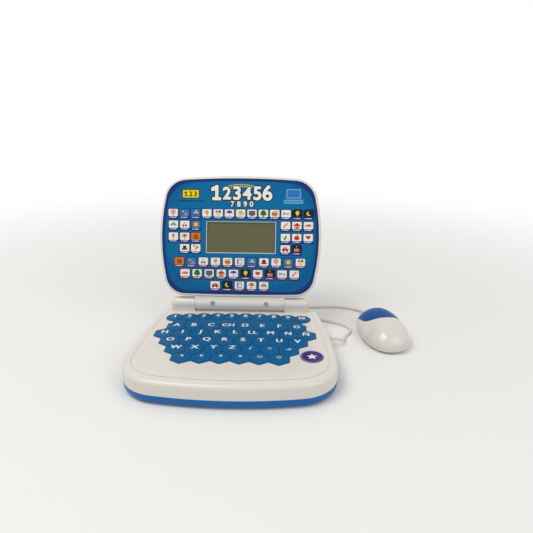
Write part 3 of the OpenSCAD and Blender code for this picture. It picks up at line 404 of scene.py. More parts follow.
class Wardrobe:
    """Every material, made once when it is first asked for."""

    def __init__(self) -> None:
        """Starts empty."""
        self.made: dict[str, bpy.types.Material] = {}

    def finish(self, slot: str) -> bpy.types.Material:
        """The material of one of the record's slots.

        Args:
            slot: The slot's name.

        Returns:
            The material, made if it is new.
        """
        if slot not in self.made:
            self.made[slot] = FINISHES[slot].make()
        return self.made[slot]

    def ink(self, name: str) -> bpy.types.Material:
        """The material of one printing ink.

        Args:
            name: The ink's name.

        Returns:
            The material, made if it is new.
        """
        key = f"ink_{name}"
        if key not in self.made:
            self.made[key] = Finish(key, INKS[name], 0.34, gloss=0.15).make()
        return self.made[key]


wardrobe = Wardrobe()


# ---------------------------------------------------------------- outlines


def arc(centre: Point, radius: float, start: float, end: float, count: int) -> list[Point]:
    """Points of an arc, without its last one.

    Args:
        centre: The arc's centre.
        radius: Its radius.
        start, end: The angles at its ends, in degrees.
        count: How many points.

    Returns:
        The points in order.
    """
    turns = [math.radians(start + (end - start) * i / count) for i in range(count)]
    return [(centre[0] + radius * math.cos(t), centre[1] + radius * math.sin(t)) for t in turns]


def bearing(start: Point, end: Point) -> float:
    """The angle of the way from one point to another, in degrees."""
    return math.degrees(math.atan2(end[1] - start[1], end[0] - start[0]))


def meet(first: Point, near: float, second: Point, far: float) -> Point:
    """The point at given distances from two others, on the left of the way between them.

    Args:
        first: The one point.
        near: The distance from it.
        second: The other point.
        far: The distance from that.

    Returns:
        The point.
    """
    across, up = second[0] - first[0], second[1] - first[1]
    span = math.hypot(across, up)
    along = (span * span + near * near - far * far) / (2 * span)
    off = math.sqrt(near * near - along * along)
    return (first[0] + (along * across - off * up) / span, first[1] + (along * up + off * across) / span)


@dataclass(frozen=True)
class BowedOutline:
    """A rounded four-sided outline with bowed sides, made of tangent arcs."""

    width: float
    front: float
    back: float
    widest: float
    side_radius: float
    front_radius: float
    back_radius: float
    front_corner: float
    back_corner: float
    side_steps: int = 8
    corner_steps: int = 14

    def inset(self, gap: float) -> list[Point]:
        """The outline drawn in by a gap.

        Args:
            gap: How far it is drawn in.

        Returns:
            Its points, going round to the left.
        """
        side = (self.width / 2 - self.side_radius, self.widest)
        front = (0.0, self.front + self.front_radius)
        back = (0.0, self.back - self.back_radius)
        low = meet(front, self.front_radius - self.front_corner, side, self.side_radius - self.front_corner)
        top = meet(side, self.side_radius - self.back_corner, back, self.back_radius - self.back_corner)
        right = (arc(front, self.front_radius - gap, -90, bearing(front, low), self.side_steps)
                 + arc(low, self.front_corner - gap, bearing(front, low), bearing(side, low), self.corner_steps)
                 + arc(side, self.side_radius - gap, bearing(side, low), bearing(side, top), self.side_steps)
                 + arc(top, self.back_corner - gap, bearing(side, top), bearing(back, top), self.corner_steps)
                 + arc(back, self.back_radius - gap, bearing(back, top), 90, self.side_steps))
        return right + [(0.0, self.back - gap)] + [(-x, y) for x, y in reversed(right[1:])]


LID_OUTLINE = BowedOutline(214.4, 9.2, 169.1, 89.15, 250, 3000, 1090, 28, 31)
PRINT_OUTLINE = BowedOutline(200.4, 16.2, 162.2, 89.15, 250, 3000, 1090, 31, 34)


def circle(radius: float, count: int, middle: Point = (0, 0)) -> list[Point]:
    """A circle as points."""
    return [(middle[0] + radius * math.cos(2 * math.pi * i / count),
             middle[1] + radius * math.sin(2 * math.pi * i / count)) for i in range(count)]


def rectangle(width: float, height: float, middle: Point = (0, 0)) -> list[Point]:
    """A rectangle about a middle, as points."""
    return [(middle[0] + sx * width / 2, middle[1] + sy * height / 2)
            for sx, sy in ((-1, -1), (1, -1), (1, 1), (-1, 1))]


def soft_rectangle(width: float, height: float, corner: float, middle: Point = (0, 0), steps: int = 5) -> list[Point]:
    """A rectangle with round corners.

    Args:
        width: How wide it is.
        height: How high it is.
        corner: The corners' radius.
        middle: Its middle.
        steps: How many points a corner has.

    Returns:
        Its points, going round to the left.
    """
    points: list[Point] = []
    for sx, sy, start in ((1, -1, -90), (1, 1, 0), (-1, 1, 90), (-1, -1, 180)):
        at = (middle[0] + sx * (width / 2 - corner), middle[1] + sy * (height / 2 - corner))
        points += arc(at, corner, start, start + 90, steps) + arc(at, corner, start + 90, start + 91, 1)
    return points


# ---------------------------------------------------------------- bench


def select_only(*things: bpy.types.Object) -> None:
    """Selects these objects and nothing else; the first is active."""
    if bpy.context.mode != "OBJECT":
        bpy.ops.object.mode_set(mode="OBJECT")
    bpy.ops.object.select_all(action="DESELECT")
    for thing in things:
        thing.select_set(True)
    bpy.context.view_layer.objects.active = things[0]


SHARP_EDGE = 40
MERGED_WITHIN = 1e-6
EXTRUDED_FIRST = 0.01


class Cut(Enum):
    """How one solid acts on another."""

    AWAY = "DIFFERENCE"
    JOIN = "UNION"
    COMMON = "INTERSECT"


class Work:
    """A piece on the bench, shaped with Blender's own operators, in millimetres."""

    def __init__(self, outline: Sequence[Point], height: float = 0.0) -> None:
        """Starts as a flat face.

        Args:
            outline: The face's points, going round to the left.
            height: Where it lies.
        """
        bpy.ops.object.select_all(action="DESELECT")
        bpy.ops.mesh.primitive_circle_add(vertices=len(outline), radius=1, fill_type="NGON")
        self.thing = bpy.context.object
        mesh = self.thing.data
        for corner, (x, y) in zip(mesh.polygons[0].vertices, outline):
            mesh.vertices[corner].co = (x, y, height)

    @classmethod
    def rings(cls, rings: Sequence[tuple[Sequence[Point], float]]) -> "Work":
        """A closed solid through rings.

        Args:
            rings: Outlines with equally many points and their heights, from the lowest.

        Returns:
            The solid.
        """
        work = cls(*rings[0])
        select_only(work.thing)
        bpy.ops.object.mode_set(mode="EDIT")
        bpy.ops.mesh.select_all(action="SELECT")
        for outline, height in rings[1:]:
            bpy.ops.mesh.extrude_region_move(TRANSFORM_OT_translate={"value": (0, 0, EXTRUDED_FIRST)})
            live = bmesh.from_edit_mesh(work.thing.data)
            top = next(f for f in live.faces if f.select)
            for corner, (x, y) in zip(top.verts, outline):
                corner.co = (x, y, height)
            bmesh.update_edit_mesh(work.thing.data)
        bpy.ops.mesh.select_all(action="SELECT")
        bpy.ops.mesh.normals_make_consistent(inside=False)
        bpy.ops.object.mode_set(mode="OBJECT")
        return work

    @classmethod
    def prism(cls, outline: Sequence[Point], low: float, high: float) -> "Work":
        """A straight solid between two heights."""
        return cls.rings([(outline, low), (outline, high)])

    @classmethod
    def text(cls, body: str, size: float, spread: Point, thickness: float, copies: int, step: float) -> "Work":
        """Plain letters or numbers, standing on the x axis with their left side at x = 0.

        Args:
            body: What they say.
            size: Their size; a capital is about two thirds of it.
            spread: How far the strokes are widened across and up.
            thickness: How thick the print is, about z = 0.
            copies: How many shifted copies widen the strokes.
            step: How far each copy lies above the one before.

        Returns:
            The print.
        """
        bpy.ops.object.select_all(action="DESELECT")
        bpy.ops.object.text_add()
        thing = bpy.context.object
        thing.data.body, thing.data.size, thing.data.extrude = body, size, thickness / 2
        bpy.ops.object.convert(target="MESH")
        work = cls.__new__(cls)
        work.thing = bpy.context.object
        turns = [2 * math.pi * i / copies for i in range(copies)]
        work.joined(*[work.again().at(spread[0] * math.cos(t), spread[1] * math.sin(t), step * (i + 1))
                      for i, t in enumerate(turns)])
        return work.at(-min(corner.co.x for corner in work.thing.data.vertices), 0)

    @property
    def width(self) -> float:
        """How far the piece reaches across."""
        across = [corner.co.x for corner in self.thing.data.vertices]
        return max(across) - min(across)

    @classmethod
    def copy_of(cls, node: str) -> "Work":
        """A merged copy of a CAD node, whose own mesh stays as it is.

        Args:
            node: The node's name.

        Returns:
            The copy.
        """
        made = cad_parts[node].copy()
        made.data = made.data.copy()
        made.parent = None
        made.matrix_world = Matrix.Identity(4)
        for key in list(made.keys()):
            del made[key]
        bpy.context.scene.collection.objects.link(made)
        made.data.materials.clear()
        work = cls.__new__(cls)
        work.thing = made
        select_only(made)
        if made.data.has_custom_normals:
            bpy.ops.mesh.customdata_custom_splitnormals_clear()
        bpy.ops.object.mode_set(mode="EDIT")
        bpy.ops.mesh.select_all(action="SELECT")
        bpy.ops.mesh.remove_doubles(threshold=MERGED_WITHIN)
        bpy.ops.object.mode_set(mode="OBJECT")
        return work

    def moved(self, matrix: Matrix) -> "Work":
        """Applies a transform to the mesh.

        Args:
            matrix: The transform.

        Returns:
            This piece.
        """
        self.thing.matrix_world = matrix
        select_only(self.thing)
        bpy.ops.object.transform_apply(location=True, rotation=True, scale=True)
        return self

    def at(self, x: float, y: float, z: float = 0.0) -> "Work":
        """Moves the piece."""
        return self.moved(Matrix.Translation((x, y, z)))

    def again(self) -> "Work":
        """A copy with its own mesh.

        Returns:
            The copy.
        """
        select_only(self.thing)
        bpy.ops.object.duplicate(linked=False)
        work = Work.__new__(Work)
        work.thing = bpy.context.object
        return work

    def cut(self, how: Cut, *others: "Work") -> "Work":
        """Combines the piece with others, which are used up.

        Args:
            how: What the others do to it.
            others: The other solids.

        Returns:
            This piece.
        """
        for other in others:
            step = self.thing.modifiers.new("cut", "BOOLEAN")
            step.operation, step.object, step.solver = how.value, other.thing, "EXACT"
            select_only(self.thing)
            bpy.ops.object.modifier_apply(modifier=step.name)
            bpy.data.objects.remove(other.thing)
        return self

    def joined(self, *others: "Work") -> "Work":
        """Joins others into this piece's mesh as they are.

        Args:
            others: The other pieces, which are used up.

        Returns:
            This piece.
        """
        if others:
            select_only(self.thing, *(other.thing for other in others))
            bpy.ops.object.join()
        return self

    def rounded(self, width: float) -> "Work":
        """Rounds every sharp edge.

        Args:
            width: How wide the rounding is.

        Returns:
            This piece.
        """
        step = self.thing.modifiers.new("rounded", "BEVEL")
        step.width, step.segments, step.angle_limit = width, 2, math.radians(SHARP_EDGE)
        step.limit_method = "ANGLE"
        step.harden_normals = False
        select_only(self.thing)
        bpy.ops.object.modifier_apply(modifier=step.name)
        return self

    def thick(self, amount: float) -> "Work":
        """Gives flat faces a thickness upwards.

        Args:
            amount: How thick they become.

        Returns:
            This piece.
        """
        step = self.thing.modifiers.new("thick", "SOLIDIFY")
        step.thickness, step.offset = amount, 1
        select_only(self.thing)
        bpy.ops.object.modifier_apply(modifier=step.name)
        return self

    def dyed(self, material: bpy.types.Material) -> "Work":
        """Gives the whole piece one material.

        Args:
            material: The material.

        Returns:
            This piece.
        """
        self.thing.data.materials.clear()
        self.thing.data.materials.append(material)
        return self

    def fitted(self, name: str, body: str, slot: str, place: Matrix = ON_BASE, replaces: Sequence[str] = (),
               angle: float = 32, dye: bool = True) -> bpy.types.Object:
        """Puts the finished piece in its place on its body.

        Args:
            name: The piece's name.
            body: The body that it rides on.
            slot: The record's material slot.
            place: From the piece's frame to the shared one.
            replaces: The CAD nodes that it stands for.
            angle: Edges sharper than this stay sharp, in degrees.
            dye: Whether it takes the slot's finish.

        Returns:
            The finished object.
        """
        self.moved(place)
        self.thing.name = name
        self.thing.data.name = name
        if dye:
            self.dyed(wardrobe.finish(slot))
        bpy.ops.object.shade_smooth_by_angle(angle=math.radians(angle))
        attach(self.thing, body)
        if replaces:
            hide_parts(*replaces)
        log.info("%s: %d faces on %s", name, len(self.thing.data.polygons), body)
        return self.thing


# ---------------------------------------------------------------- studio


@dataclass
class Studio:
    """Floor, soft light and camera."""

    camera_at: tuple[float, float, float] = (0.0545, -0.4839, 0.2961)
    yaw: float = 1.9
    pitch: float = -19.7
    roll: float = 0.16
    lens: float = 31.195
    sensor: float = 36.0
    sky: float = 0.62
    sky_tint: Colour = (1, 0.99, 0.97, 1)
    white: Colour = (1, 1, 1, 1)
    floor_size: float = 40.0
    floor_tone: Colour = ink(234, 234, 232)
    fade_from: float = 0.15
    fade_to: float = 1.2
    lamp_tint: tuple[float, float, float] = (1, 0.985, 0.96)
    lamps_aim: tuple[float, float, float] = (0, 0.03, 0.06)
    lamps: tuple[tuple[str, tuple[float, float, float], float, float], ...] = (
        ("key_lamp", (-0.5, -0.35, 1.25), 0.7, 7.5), ("fill_lamp", (0.9, -0.7, 0.9), 0.9, 3.5))

    def camera(self) -> None:
        """Sets the camera."""
        cy, sy = math.cos(math.radians(self.yaw)), math.sin(math.radians(self.yaw))
        cp, sp = math.cos(math.radians(self.pitch)), math.sin(math.radians(self.pitch))
        cr, sr = math.cos(math.radians(self.roll)), math.sin(math.radians(self.roll))
        turn = Matrix(((cy, -sy, 0), (sy, cy, 0), (0, 0, 1))).transposed()
        nod = Matrix(((1, 0, 0), (0, cp, sp), (0, -sp, cp)))
        lean = Matrix(((cr, 0, sr), (0, 1, 0), (-sr, 0, cr)))
        rows = lean @ nod @ turn
        right, ahead, up = rows[0], rows[1], rows[2]
        lens = bpy.data.cameras.new("camera")
        lens.lens, lens.sensor_width = self.lens, self.sensor
        camera = bpy.data.objects.new("camera", lens)
        pose = Matrix((right, up, -ahead)).transposed().to_4x4()
        pose.translation = Vector(self.camera_at)
        camera.matrix_world = pose
        bpy.context.scene.collection.objects.link(camera)
        bpy.context.scene.camera = camera

    def floor(self) -> None:
        """A pale floor that fades into the white behind it."""
        select_only(bpy.context.scene.camera)
        bpy.ops.object.select_all(action="DESELECT")
        bpy.ops.mesh.primitive_plane_add(size=self.floor_size, location=(0, 0, 0))
        floor = bpy.context.object
        floor.name = "floor"
        recipe = Recipe("floor_paint")
        recipe.set(Base_Color=self.floor_tone, Roughness=0.9, Specular_IOR_Level=0.1)
        far = recipe.node("ShaderNodeVectorMath", {0: recipe.place}, operation="LENGTH").outputs["Value"]
        feeds = {"Value": far, "From Min": self.fade_from, "From Max": self.fade_to}
        fade = recipe.node("ShaderNodeMapRange", feeds, interpolation_type="SMOOTHSTEP").outputs["Result"]
        seen = recipe.node("ShaderNodeLightPath").outputs["Is Camera Ray"]
        glow = recipe.node("ShaderNodeEmission", {"Color": self.white, "Strength": 1.0})
        both = recipe.node("ShaderNodeMixShader", {0: recipe.math("MULTIPLY", fade, seen),
                                                   1: recipe.shader.outputs[0], 2: glow.outputs[0]})
        recipe.tree.links.new(both.outputs[0], recipe.tree.nodes["Material Output"].inputs["Surface"])
        floor.data.materials.append(recipe.material)

    def light(self) -> None:
        """An even sky with two large soft lamps."""
        world = bpy.data.worlds.new("studio_sky")
        world.use_nodes = True
        bpy.context.scene.world = world
        nodes, links = world.node_tree.nodes, world.node_tree.links
        seen = nodes.new("ShaderNodeLightPath").outputs
        share = seen["Is Camera Ray"]
        for ray in ("Is Glossy Ray", "Is Transmission Ray"):
            either = nodes.new("ShaderNodeMath")
            either.operation = "MAXIMUM"
            links.new(share, either.inputs[0])
            links.new(seen[ray], either.inputs[1])
            share = either.outputs[0]
        dim, bright = nodes["Background"], nodes.new("ShaderNodeBackground")
        for background, tint, strength in ((dim, self.sky_tint, self.sky), (bright, self.white, 1.0)):
            background.inputs["Color"].default_value = tint
            background.inputs["Strength"].default_value = strength
        mix = nodes.new("ShaderNodeMixShader")
        for number, socket in enumerate((share, dim.outputs[0], bright.outputs[0])):
            links.new(socket, mix.inputs[number])
        links.new(mix.outputs[0], nodes["World Output"].inputs["Surface"])
        for name, at, size, power in self.lamps:
            lamp = bpy.data.lights.new(name, "AREA")
            lamp.size, lamp.energy, lamp.color = size, power, self.lamp_tint
            held = bpy.data.objects.new(name, lamp)
            held.location = at
            aim = Vector(self.lamps_aim) - Vector(at)
            held.rotation_euler = aim.to_track_quat("-Z", "Y").to_euler()
            bpy.context.scene.collection.objects.link(held)
        bpy.context.scene.view_settings.view_transform = "Standard"

    def build(self) -> None:
        """Camera, floor and light."""
        self.camera()
        self.floor()
        self.light()


# ---------------------------------------------------------------- lead


@dataclass
class MouseLead:
    """The lead from the base to the mouse, one round cord."""

    diameter: float = 3.4
    length: float = 0.401
    route: tuple[tuple[float, float, float], ...] = (
        (120.012, 42, 12), (127, 42.4, 11.2), (133, 45, 8.4), (137, 51, 4.6), (139, 59, 2.2), (142, 67, 1.8),
        (147, 75, 1.8), (150, 84, 1.8), (148, 94, 1.8), (140, 102, 1.8), (129, 108, 1.8), (116, 114, 1.8),
        (102, 119, 1.8), (87, 123, 1.8), (72, 126, 1.8), (57, 128, 1.8), (42, 129, 1.8), (29, 132, 1.8),
        (21, 139, 1.8), (21, 149, 1.8), (29, 156, 1.8), (42, 158, 1.8), (57, 158, 1.8), (72, 158, 1.8),
        (87, 158, 1.8), (102, 158, 1.8), (117, 159, 1.8), (132, 160, 1.8), (147, 159, 1.8), (160, 155, 1.8),
        (170, 149, 2.2), (177, 141, 3.6), (181, 132, 5.4), (182.485, 123.474, 6))

    def build(self) -> bpy.types.Object:
        """Returns:
            The cord.
        """
        line = bpy.data.curves.new("lead", "CURVE")
        line.dimensions = "3D"
        line.bevel_depth, line.bevel_resolution = self.diameter / 2 * MM, 6
        line.resolution_u, line.use_fill_caps = 8, True
        spline = line.splines.new("BEZIER")
        spline.bezier_points.add(len(self.route) - 1)
        for knot, at in zip(spline.bezier_points, self.route):
            knot.co = [part * MM for part in at]
            knot.handle_left_type = knot.handle_right_type = "AUTO"
        lead = bpy.data.objects.new("lead", line)
        bpy.context.scene.collection.objects.link(lead)
        line.materials.append(wardrobe.finish("white_lead"))
        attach(lead, "base")
        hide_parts("mouse_lead")
        return lead


# ---------------------------------------------------------------- CAD pieces that stay


NODE_SLOTS: dict[str, str] = {
    "base_top_shell": "white_plastic", "base_bottom_shell": "blue_plastic", "rubber_feet": "black_rubber",
    "case_screws": "screw_steel", "keypad_film": "keypad_print", "keypad_spacer": "clear_film",
    "keypad_circuit": "circuit_film", "corner_badge": "badge_print", "main_board": "board_green",
    "board_chip": "chip_black", "board_parts": "board_parts", "board_screws": "screw_steel",
    "speaker_basket": "speaker_steel", "speaker_cone": "speaker_paper", "speaker_magnet": "magnet_steel",
    "battery_cells": "cell_can", "contact_plates": "contact_nickel", "contact_springs": "contact_nickel",
    "base_harness": "wire_red", "lead_gland": "white_lead", "mouse_lead": "white_lead",
    "mouse_top_shell": "white_gloss", "mouse_bottom_shell": "white_gloss", "mouse_board": "board_green",
    "mouse_switches": "chip_black", "mouse_screw": "screw_steel", "mouse_feet": "slide_pad",
    "lead_grommet": "white_lead", "left_hinge_pin": "pin_steel", "right_hinge_pin": "pin_steel",
    "lid_front_shell": "white_plastic", "lid_back_shell": "white_plastic", "lid_fascia": "fascia_print",
    "hinge_screws": "screw_steel", "lid_screws": "screw_steel", "lcd_glass": "display_glass",
    "lcd_reflector": "reflector_foil", "lcd_frame": "frame_plastic", "contact_strips": "pink_silicone",
    "lcd_board": "board_green", "lcd_driver": "chip_black", "lcd_board_screws": "screw_steel",
    "lid_harness": "wire_red", "battery_door": "blue_plastic", "battery_door_screw": "screw_steel",
    "mouse_left_button": "blue_button", "mouse_left_plunger": "plunger_red",
    "mouse_right_button": "blue_button", "mouse_right_plunger": "plunger_red",
}


@dataclass
class Carried:
    """The CAD nodes that keep their own shape, and merged copies of those that are seen from outside."""

    smoothed: dict[str, str] = field(default_factory=lambda: {
        "base_bottom_shell": "base", "base_top_shell": "base", "lid_front_shell": "lid", "lid_back_shell": "lid",
        "rubber_feet": "base", "lead_gland": "base", "lead_grommet": "base", "hinge_screws": "lid",
        "case_screws": "base", "battery_door": "battery_door", "mouse_bottom_shell": "base",
        "mouse_feet": "base", "mouse_screw": "base", "battery_door_screw": "battery_door",
    })

    def dress(self) -> None:
        """Gives every node its finish."""
        for node, slot in NODE_SLOTS.items():
            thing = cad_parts[node]
            thing.data.materials.clear()
            thing.data.materials.append(wardrobe.finish(slot))

    def smooth(self) -> None:
        """Replaces the nodes seen from outside by merged, smoothly shaded copies."""
        for node, body in self.smoothed.items():
            Work.copy_of(node).fitted(f"{node}_smooth", body, NODE_SLOTS[node], Matrix.Identity(4), [node])


# ---------------------------------------------------------------- keypad


class Sign(Enum):
    """The generic signs on the function keys."""

    NOTE = "note"
    UP = "up"
    DOWN = "down"
    PLAY = "play"
    PAUSE = "pause"
    BARS = "bars"
    LOOP = "loop"
    DICE = "dice"
    POWER = "power"


SERIFS: dict[str, tuple[tuple[float, ...], tuple[float, ...]]] = {
    "A": ((0.07, 0.93), ()), "B": ((0.12,), (0.12,)), "D": ((0.1,), (0.1,)), "E": ((0.14,), (0.14,)),
    "F": ((0.16,), (0.14,)), "H": ((0.1, 0.9), (0.1, 0.9)), "I": ((0.5,), (0.5,)), "J": ((), (0.78,)),
    "K": ((0.1, 0.9), (0.1, 0.86)), "L": ((0.14,), (0.14,)), "M": ((0.08, 0.92), (0.08, 0.92)),
    "N": ((0.1,), (0.1, 0.9)), "Ñ": ((0.1,), (0.1, 0.9)), "P": ((0.14,), (0.12,)), "R": ((0.12, 0.92), (0.1,)),
    "T": ((0.5,), ()), "U": ((), (0.1, 0.9)), "V": ((), (0.08, 0.92)), "W": ((), (0.05, 0.95)),
    "X": ((0.08, 0.92), (0.08, 0.92)), "Y": ((0.5,), (0.08, 0.92)), "1": ((0.5,), (0.2,)), "4": ((0.76,), ()),
}
FLAG: tuple[Point, ...] = ((-0.24, 0.44), (0.0, 0.5), (0.0, 0.682), (-0.24, 0.56))


@dataclass
class Keypad:
    """The printed film with its embossed keys and their legends."""

    pitch: float = 21.5
    top_row: float = 33.8
    row_bow: float = 2.6
    row_reach: float = 86.0
    number_pitch: float = 18.4
    number_row: float = 61.5
    number_width: float = 22.0
    number_bow: float = 4.7
    number_reach: float = 82.8
    film_top: float = 30.2
    emboss: float = 0.3
    line: float = 0.6
    letter_size: float = 10.8
    number_size: float = 9.6
    stretch: float = 1.08
    cap: float = 0.682
    widening: float = 0.034
    letter_gap: float = 0.09
    serif_wide: float = 0.25
    serif_narrow: float = 0.17
    serif_high: float = 0.07
    key_count: int = 10
    key_foot: float = 0.15
    key_steps: tuple[tuple[float, float], ...] = (
        (0.12, -0.08), (0.45, 0.0), (1.7, 0.0), (1.95, -0.16), (2.3, -0.16), (2.6, 0.0))
    dash: Point = (4.8, 0.5)
    dash_drop: float = 2.6
    sign_low: float = -0.06
    sign_high: float = 0.04
    rows: tuple[tuple[str, ...], ...] = (
        ("A", "B", "C", "CH", "D", "E", "F", "G"),
        ("H", "I", "J", "K", "L", "LL", "M", "N", "Ñ"),
        ("O", "P", "Q", "R", "S", "T", "U", "V"),
        ("W", "X", "Y", "Z", "note", "dice", "bars"),
        ("play", "pause", "up", "down", "loop", "power"))

    def hex_ring(self, reach: float, roundness: float = 0.0, count: int = 48) -> list[Point]:
        """A hexagon with a corner at the top, blended towards a circle.

        Args:
            reach: The hexagon's corner radius.
            roundness: 0 for a hexagon and 1 for a circle.
            count: How many points.

        Returns:
            The ring's points.
        """
        points = []
        for i in range(count):
            turn = 2 * math.pi * i / count
            off = (turn + math.pi / 2) % (math.pi / 3) - math.pi / 6
            flat = reach * math.cos(math.pi / 6) / math.cos(off)
            radius = flat * (1 - roundness) + reach * 0.93 * roundness
            points.append((radius * math.cos(turn), radius * math.sin(turn)))
        return points

    def round_ring(self, inset: float, count: int = 48) -> list[Point]:
        """A number key's outline: a circle whose sides are cut straight beside its neighbours."""
        reach, side = self.number_width / 2 - 0.5 - inset, self.number_pitch / 2 - 0.08 - inset
        return [(min(max(x, -side), side), y) for x, y in circle(reach, count)]

    def raised(self, ring: Outline, top: float) -> Work:
        """A key: a soft edge, a flat land and a shallow groove round its middle.

        Args:
            ring: Gives the key's outline drawn in by a distance.
            top: The height of the land.

        Returns:
            The key.
        """
        edge, foot = self.line, self.film_top
        return Work.rings([(ring(edge), foot), (ring(edge), foot + self.key_foot)]
                          + [(ring(edge + inward), top + rise) for inward, rise in self.key_steps])

    def hex_outline(self, inset: float) -> list[Point]:
        """A letter key's outline drawn in, rounder the further in it lies."""
        reach = (self.pitch - 0.12) / math.sqrt(3) - inset * 2 / math.sqrt(3)
        return self.hex_ring(reach, min(max(inset - self.line, 0) / 2.6, 1) ** 2)

    def flat_places(self) -> list[tuple[str, Point]]:
        """Every hexagonal key's legend and place, before the rows are bowed.

        Returns:
            The legends with their places.
        """
        step = self.pitch * math.sqrt(3) / 2
        return [(legend, ((k - (len(row) - 1) / 2) * self.pitch, self.top_row - number * step))
                for number, row in enumerate(self.rows) for k, legend in enumerate(row)]

    def places(self) -> list[tuple[str, Point]]:
        """Every hexagonal key's legend and place."""
        return [(legend, (x, y - self.row_bow * (x / self.row_reach) ** 2)) for legend, (x, y) in self.flat_places()]

    def field(self, key: Work, places: Sequence[Point], bow: float, reach: float) -> Work:
        """A key repeated over its places, with the rows bowed.

        Args:
            key: The key, which is used up.
            places: Where its copies go, before the bow.
            bow: How far the row's ends come forward.
            reach: How far from the middle that is.

        Returns:
            All the keys as one piece.
        """
        keys = [key.again().at(*place) for place in places]
        bpy.data.objects.remove(key.thing)
        joined = keys[0].joined(*keys[1:])
        for corner in joined.thing.data.vertices:
            corner.co.y -= bow * (corner.co.x / reach) ** 2
        return joined

    def legend(self, body: str, at: Point, size: float, high: float) -> list[Work]:
        """A bold legend with slab serifs.

        Args:
            body: What it says.
            at: The middle of its foot.
            size: The letters' size.
            high: The height that it lies at.

        Returns:
            Its prints.
        """
        works: list[Work] = []
        pen, widen = 0.0, Matrix.Diagonal((self.stretch, 1, 1, 1))
        for letter in body:
            glyph = Work.text(letter, size, (size * self.widening, 0), 0.08, 2, 0.012).moved(widen)
            wide = glyph.width
            feet, heads = SERIFS.get(letter, ((), ()))
            bars = ([(share, size * self.serif_high / 2) for share in feet]
                    + [(share, size * (self.cap - self.serif_high / 2)) for share in heads])
            reach = self.serif_wide if max(len(feet), len(heads)) < 2 else self.serif_narrow
            works.append(glyph.at(pen, 0))
            works += [Work.prism(rectangle(size * reach, size * self.serif_high, (pen + share * wide, y)), -0.05, 0.07)
                      for share, y in bars]
            pen += wide + size * self.letter_gap
        shift = at[0] - (pen - size * self.letter_gap) / 2
        return [work.at(shift, at[1], high) for work in works]

    def sign(self, sign: Sign, at: Point, high: float) -> list[Work]:
        """One generic sign.

        Args:
            sign: Which one.
            at: The middle of its foot.
            high: The height that it lies at.

        Returns:
            Its prints.
        """
        x, y = at
        low, top = high + self.sign_low, high + self.sign_high
        bits: list[list[Point]] = []
        if sign is Sign.NOTE:
            bits = [circle(1.2, 16, (x - 1, y + 0.4)), rectangle(0.5, 4.2, (x, y + 2.3)),
                    rectangle(1.8, 0.8, (x + 0.7, y + 4.1))]
        elif sign in (Sign.UP, Sign.DOWN, Sign.PLAY):
            turn = {Sign.UP: 90, Sign.DOWN: -90, Sign.PLAY: 0}[sign]
            bits = [arc((x, y + 2), 2.4, turn, turn + 360, 3)]
        elif sign in (Sign.PAUSE, Sign.BARS):
            heights = (4, 4) if sign is Sign.PAUSE else (1.6, 2.8, 4)
            bits = [rectangle(1.1, h, (x + (i - (len(heights) - 1) / 2) * 2.0, y + h / 2))
                    for i, h in enumerate(heights)]
        elif sign is Sign.DICE:
            bits = [circle(0.6, 12, (x + dx, y + 2 + dy)) for dx, dy in
                    ((-1.5, -1.5), (1.5, -1.5), (0, 0), (-1.5, 1.5), (1.5, 1.5))]
        works = [Work.prism(points, low, top) for points in bits]
        if sign in (Sign.LOOP, Sign.POWER):
            start, end = (110, 430) if sign is Sign.POWER else (60, 380)
            outer = arc((x, y + 2), 2.5, start, end, 24)
            inner = arc((x, y + 2), 1.9, end, start, 24)
            mark = (rectangle(0.6, 2.6, (x, y + 3.6)) if sign is Sign.POWER
                    else arc((x + 2.3, y + 2.6), 1.3, 100, 460, 3))
            works += [Work.prism(outer + inner, low, top), Work.prism(mark, low, top)]
        return works

    def build(self) -> None:
        """The film, the keys on it, the painted shade in the gaps between them and all their legends."""
        Work.copy_of("keypad_film").moved(Matrix.Scale(1 / MM, 4)).fitted(
            "keypad_film_sheet", "base", "keypad_print", ON_BASE, ["keypad_film"])
        letters = ([place for _, place in self.flat_places()], self.row_bow, self.row_reach)
        numbers = ([((k - (self.key_count - 1) / 2) * self.number_pitch, self.number_row)
                    for k in range(self.key_count)], self.number_bow, self.number_reach)
        top = self.film_top + self.emboss
        low, high = self.film_top - 0.1, self.film_top + 0.08
        keys = self.field(self.raised(self.hex_outline, top), *letters)
        keys.joined(self.field(self.raised(self.round_ring, top), *numbers)).fitted(
            "keypad_keys", "base", "keypad_print")
        # Painted shade: a dark ink under the gaps round every key stands for the shade that falls between the raised
        # keys.
        gap_shade = self.field(Work.prism(self.hex_outline(0), low, high), *letters)
        gap_shade.joined(self.field(Work.prism(self.round_ring(0), low, high - 0.02), *numbers)).dyed(
            wardrobe.ink("groove")).fitted("keypad_gap_shade", "base", "keypad_print", dye=False)
        prints: list[Work] = []
        dashes: list[Work] = []
        for k, (x, y) in enumerate(numbers[0]):
            y -= self.number_bow * (x / self.number_reach) ** 2
            prints += self.legend(str(k + 1), (x, y + 0.2), self.number_size, top + 0.02)
            dashes.append(Work.prism(rectangle(*self.dash, (x, y - self.dash_drop)), top - 0.04, top + 0.05))
        signs = {sign.value: sign for sign in Sign}
        for legend, (x, y) in self.places():
            if legend in signs:
                prints += self.sign(signs[legend], (x, y + 1.2), top)
            else:
                size = self.letter_size * (1 if len(legend) == 1 else 0.94)
                prints += self.legend(legend, (x, y + 0.2), size, top + 0.02)
        prints[0].joined(*prints[1:]).dyed(wardrobe.ink("white")).fitted(
            "keypad_legends", "base", "keypad_print", dye=False)
        dashes[0].joined(*dashes[1:]).dyed(wardrobe.ink("pale")).fitted(
            "keypad_dashes", "base", "keypad_print", dye=False)


